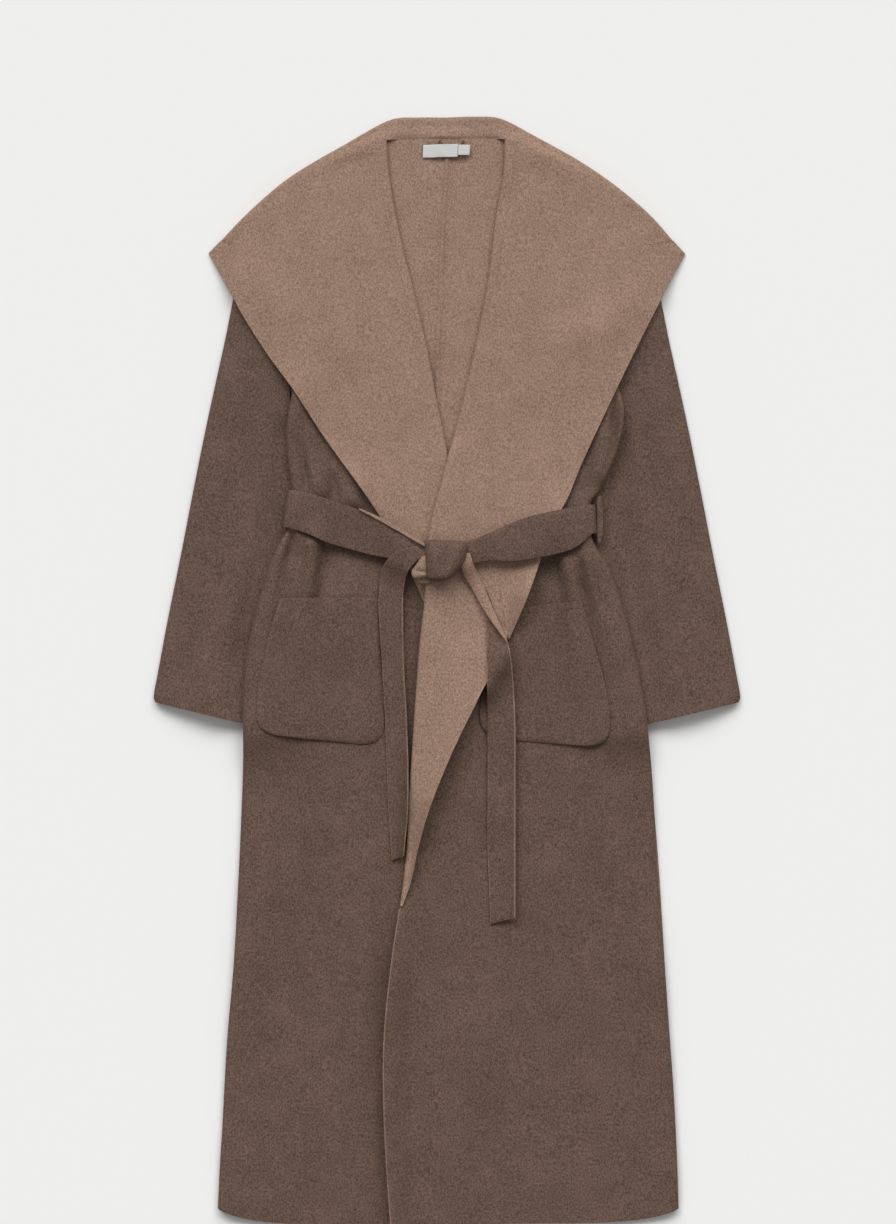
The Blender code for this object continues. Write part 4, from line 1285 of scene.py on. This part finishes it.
# The knot: the belt's end wraps once over the crossing of the two bands, dark face out, and is
# drawn tight. A little of its light face shows beside it in a small, flat loop.
KNOT_RISE = 13.0
SQUARENESS = 4.5
# left_x, left_y, right_x, right_y of the wrap, top to bottom
KNOT_WRAP = (
    (-25, 804, 22, 802),
    (-25, 793, 23, 793),
    (-25, 781, 21, 782),
    (-24, 769, 14, 771),
    (-23, 761, 4, 761),
    (-20, 757, -5, 757),
)
# its creases: path, width, height and where each is highest
KNOT_FOLDS = (
    (((-20, 800), (-12, 780), (-16, 758)), 7, 1.6, 0.5),
    (((16, 800), (8, 782), (0, 762)), 8, 1.8, 0.4),
    (((-4, 802), (-3, 784), (-10, 760)), 6, -1.6, 0.4),
)
# the light loop beside it, in two overlapping parts
LOOP_CLOTH = 1.6
LOOP_SINK = 2.2
LOOP_CREASE = (((-44, 769), (-18, 766)), 4, -2.5, (0.1, 0.9))
KNOT_LOOP = (
    (-28, 786, -22, 786),
    (-35, 776, -21, 778),
    (-41, 767, -21, 768),
    (-40, 760, -21, 761),
)
KNOT_LOOP_END = (
    (-37, 762, -22, 762),
    (-35, 758, -21, 758),
    (-31, 754, -20, 754),
)


def domed(table, rise, columns, heights):
    """A bulging patch of cloth: highest in its middle, down on the belt all round its edge."""
    flat = ribbon(table, 2.5, even(columns))
    base = np.median(heights.under(flat)) + CLOTH / 2
    across = np.abs(np.linspace(-1, 1, columns))[None, :]
    down = np.abs(np.linspace(-1, 1, len(flat)))[:, None]
    dome = ((1 - across**SQUARENESS) * (1 - down**SQUARENESS)) ** 0.5
    return np.concatenate([flat, (base + rise * dome)[..., None]], axis=2)


def outward(points):
    """The way straight out from a grid of points."""
    down = np.gradient(points, axis=0)
    across = np.gradient(points, axis=1)
    way = np.cross(across, down)
    way /= np.linalg.norm(way, axis=2)[..., None] + 1e-9
    return way * np.where(way[..., 2:] < 0, -1.0, 1.0)


wrap = domed(KNOT_WRAP, KNOT_RISE, 17, everything)
wrap[..., 2] += fold_heights(wrap[..., :2], KNOT_FOLDS)
shapes = [cloth_shape(wrap, outward(wrap))]
for table, rise in ((KNOT_LOOP, 3.0), (KNOT_LOOP_END, 2.0)):
    bight = domed(table, rise, 9, everything)
    bight[..., 2] += fold_heights(bight[..., :2], [LOOP_CREASE]) - LOOP_SINK
    shapes.append(cloth_shape(bight, -outward(bight), thickness=LOOP_CLOTH, outer_rim=False))
piece = add_piece("belt_knot", shapes)

# A plain pale table, the soft light of two windows beyond the collar, and a camera straight above
# the coat that shows the photo's length of table.
LIGHT_SPREAD = 34.0
LIGHT_TILT = -48.0
SKY = 0.39
SENSOR = 36.0
CAMERA_HEIGHT = 5.0
SHOWN_LENGTH = 1.4443
shape = bmesh.new()
bmesh.ops.create_grid(shape, x_segments=1, y_segments=1, size=4.0)
mesh = bpy.data.meshes.new("floor")
shape.to_mesh(mesh)
shape.free()
table_top, tree, shader = new_material("pale_table")
put(shader, Base_Color=(0.80, 0.80, 0.79, 1.0), Roughness=0.9)
mesh.materials.append(table_top)
floor_object = add_object("floor", mesh)
floor_object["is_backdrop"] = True

for name, energy, turn in (("left_window", 1.75, 24.0), ("right_window", 1.45, -24.0)):
    sun = bpy.data.lights.new(name, "SUN")
    sun.energy = energy
    sun.angle = math.radians(LIGHT_SPREAD)
    window = add_object(name, sun)
    window.rotation_euler = (math.radians(LIGHT_TILT), 0.0, math.radians(turn))

world = bpy.data.worlds.new("studio")
world.use_nodes = True
put(world.node_tree.nodes["Background"], Color=(1.0, 1.0, 1.0, 1.0), Strength=SKY)
bpy.context.scene.world = world
bpy.context.scene.view_settings.view_transform = "Standard"

camera = bpy.data.cameras.new("camera")
camera.sensor_width = SENSOR
camera.lens = SENSOR * CAMERA_HEIGHT / SHOWN_LENGTH
camera_object = add_object("camera", camera)
camera_object.location = (0.0012, 0.0693, CAMERA_HEIGHT)
bpy.context.scene.camera = camera_object

low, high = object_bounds()
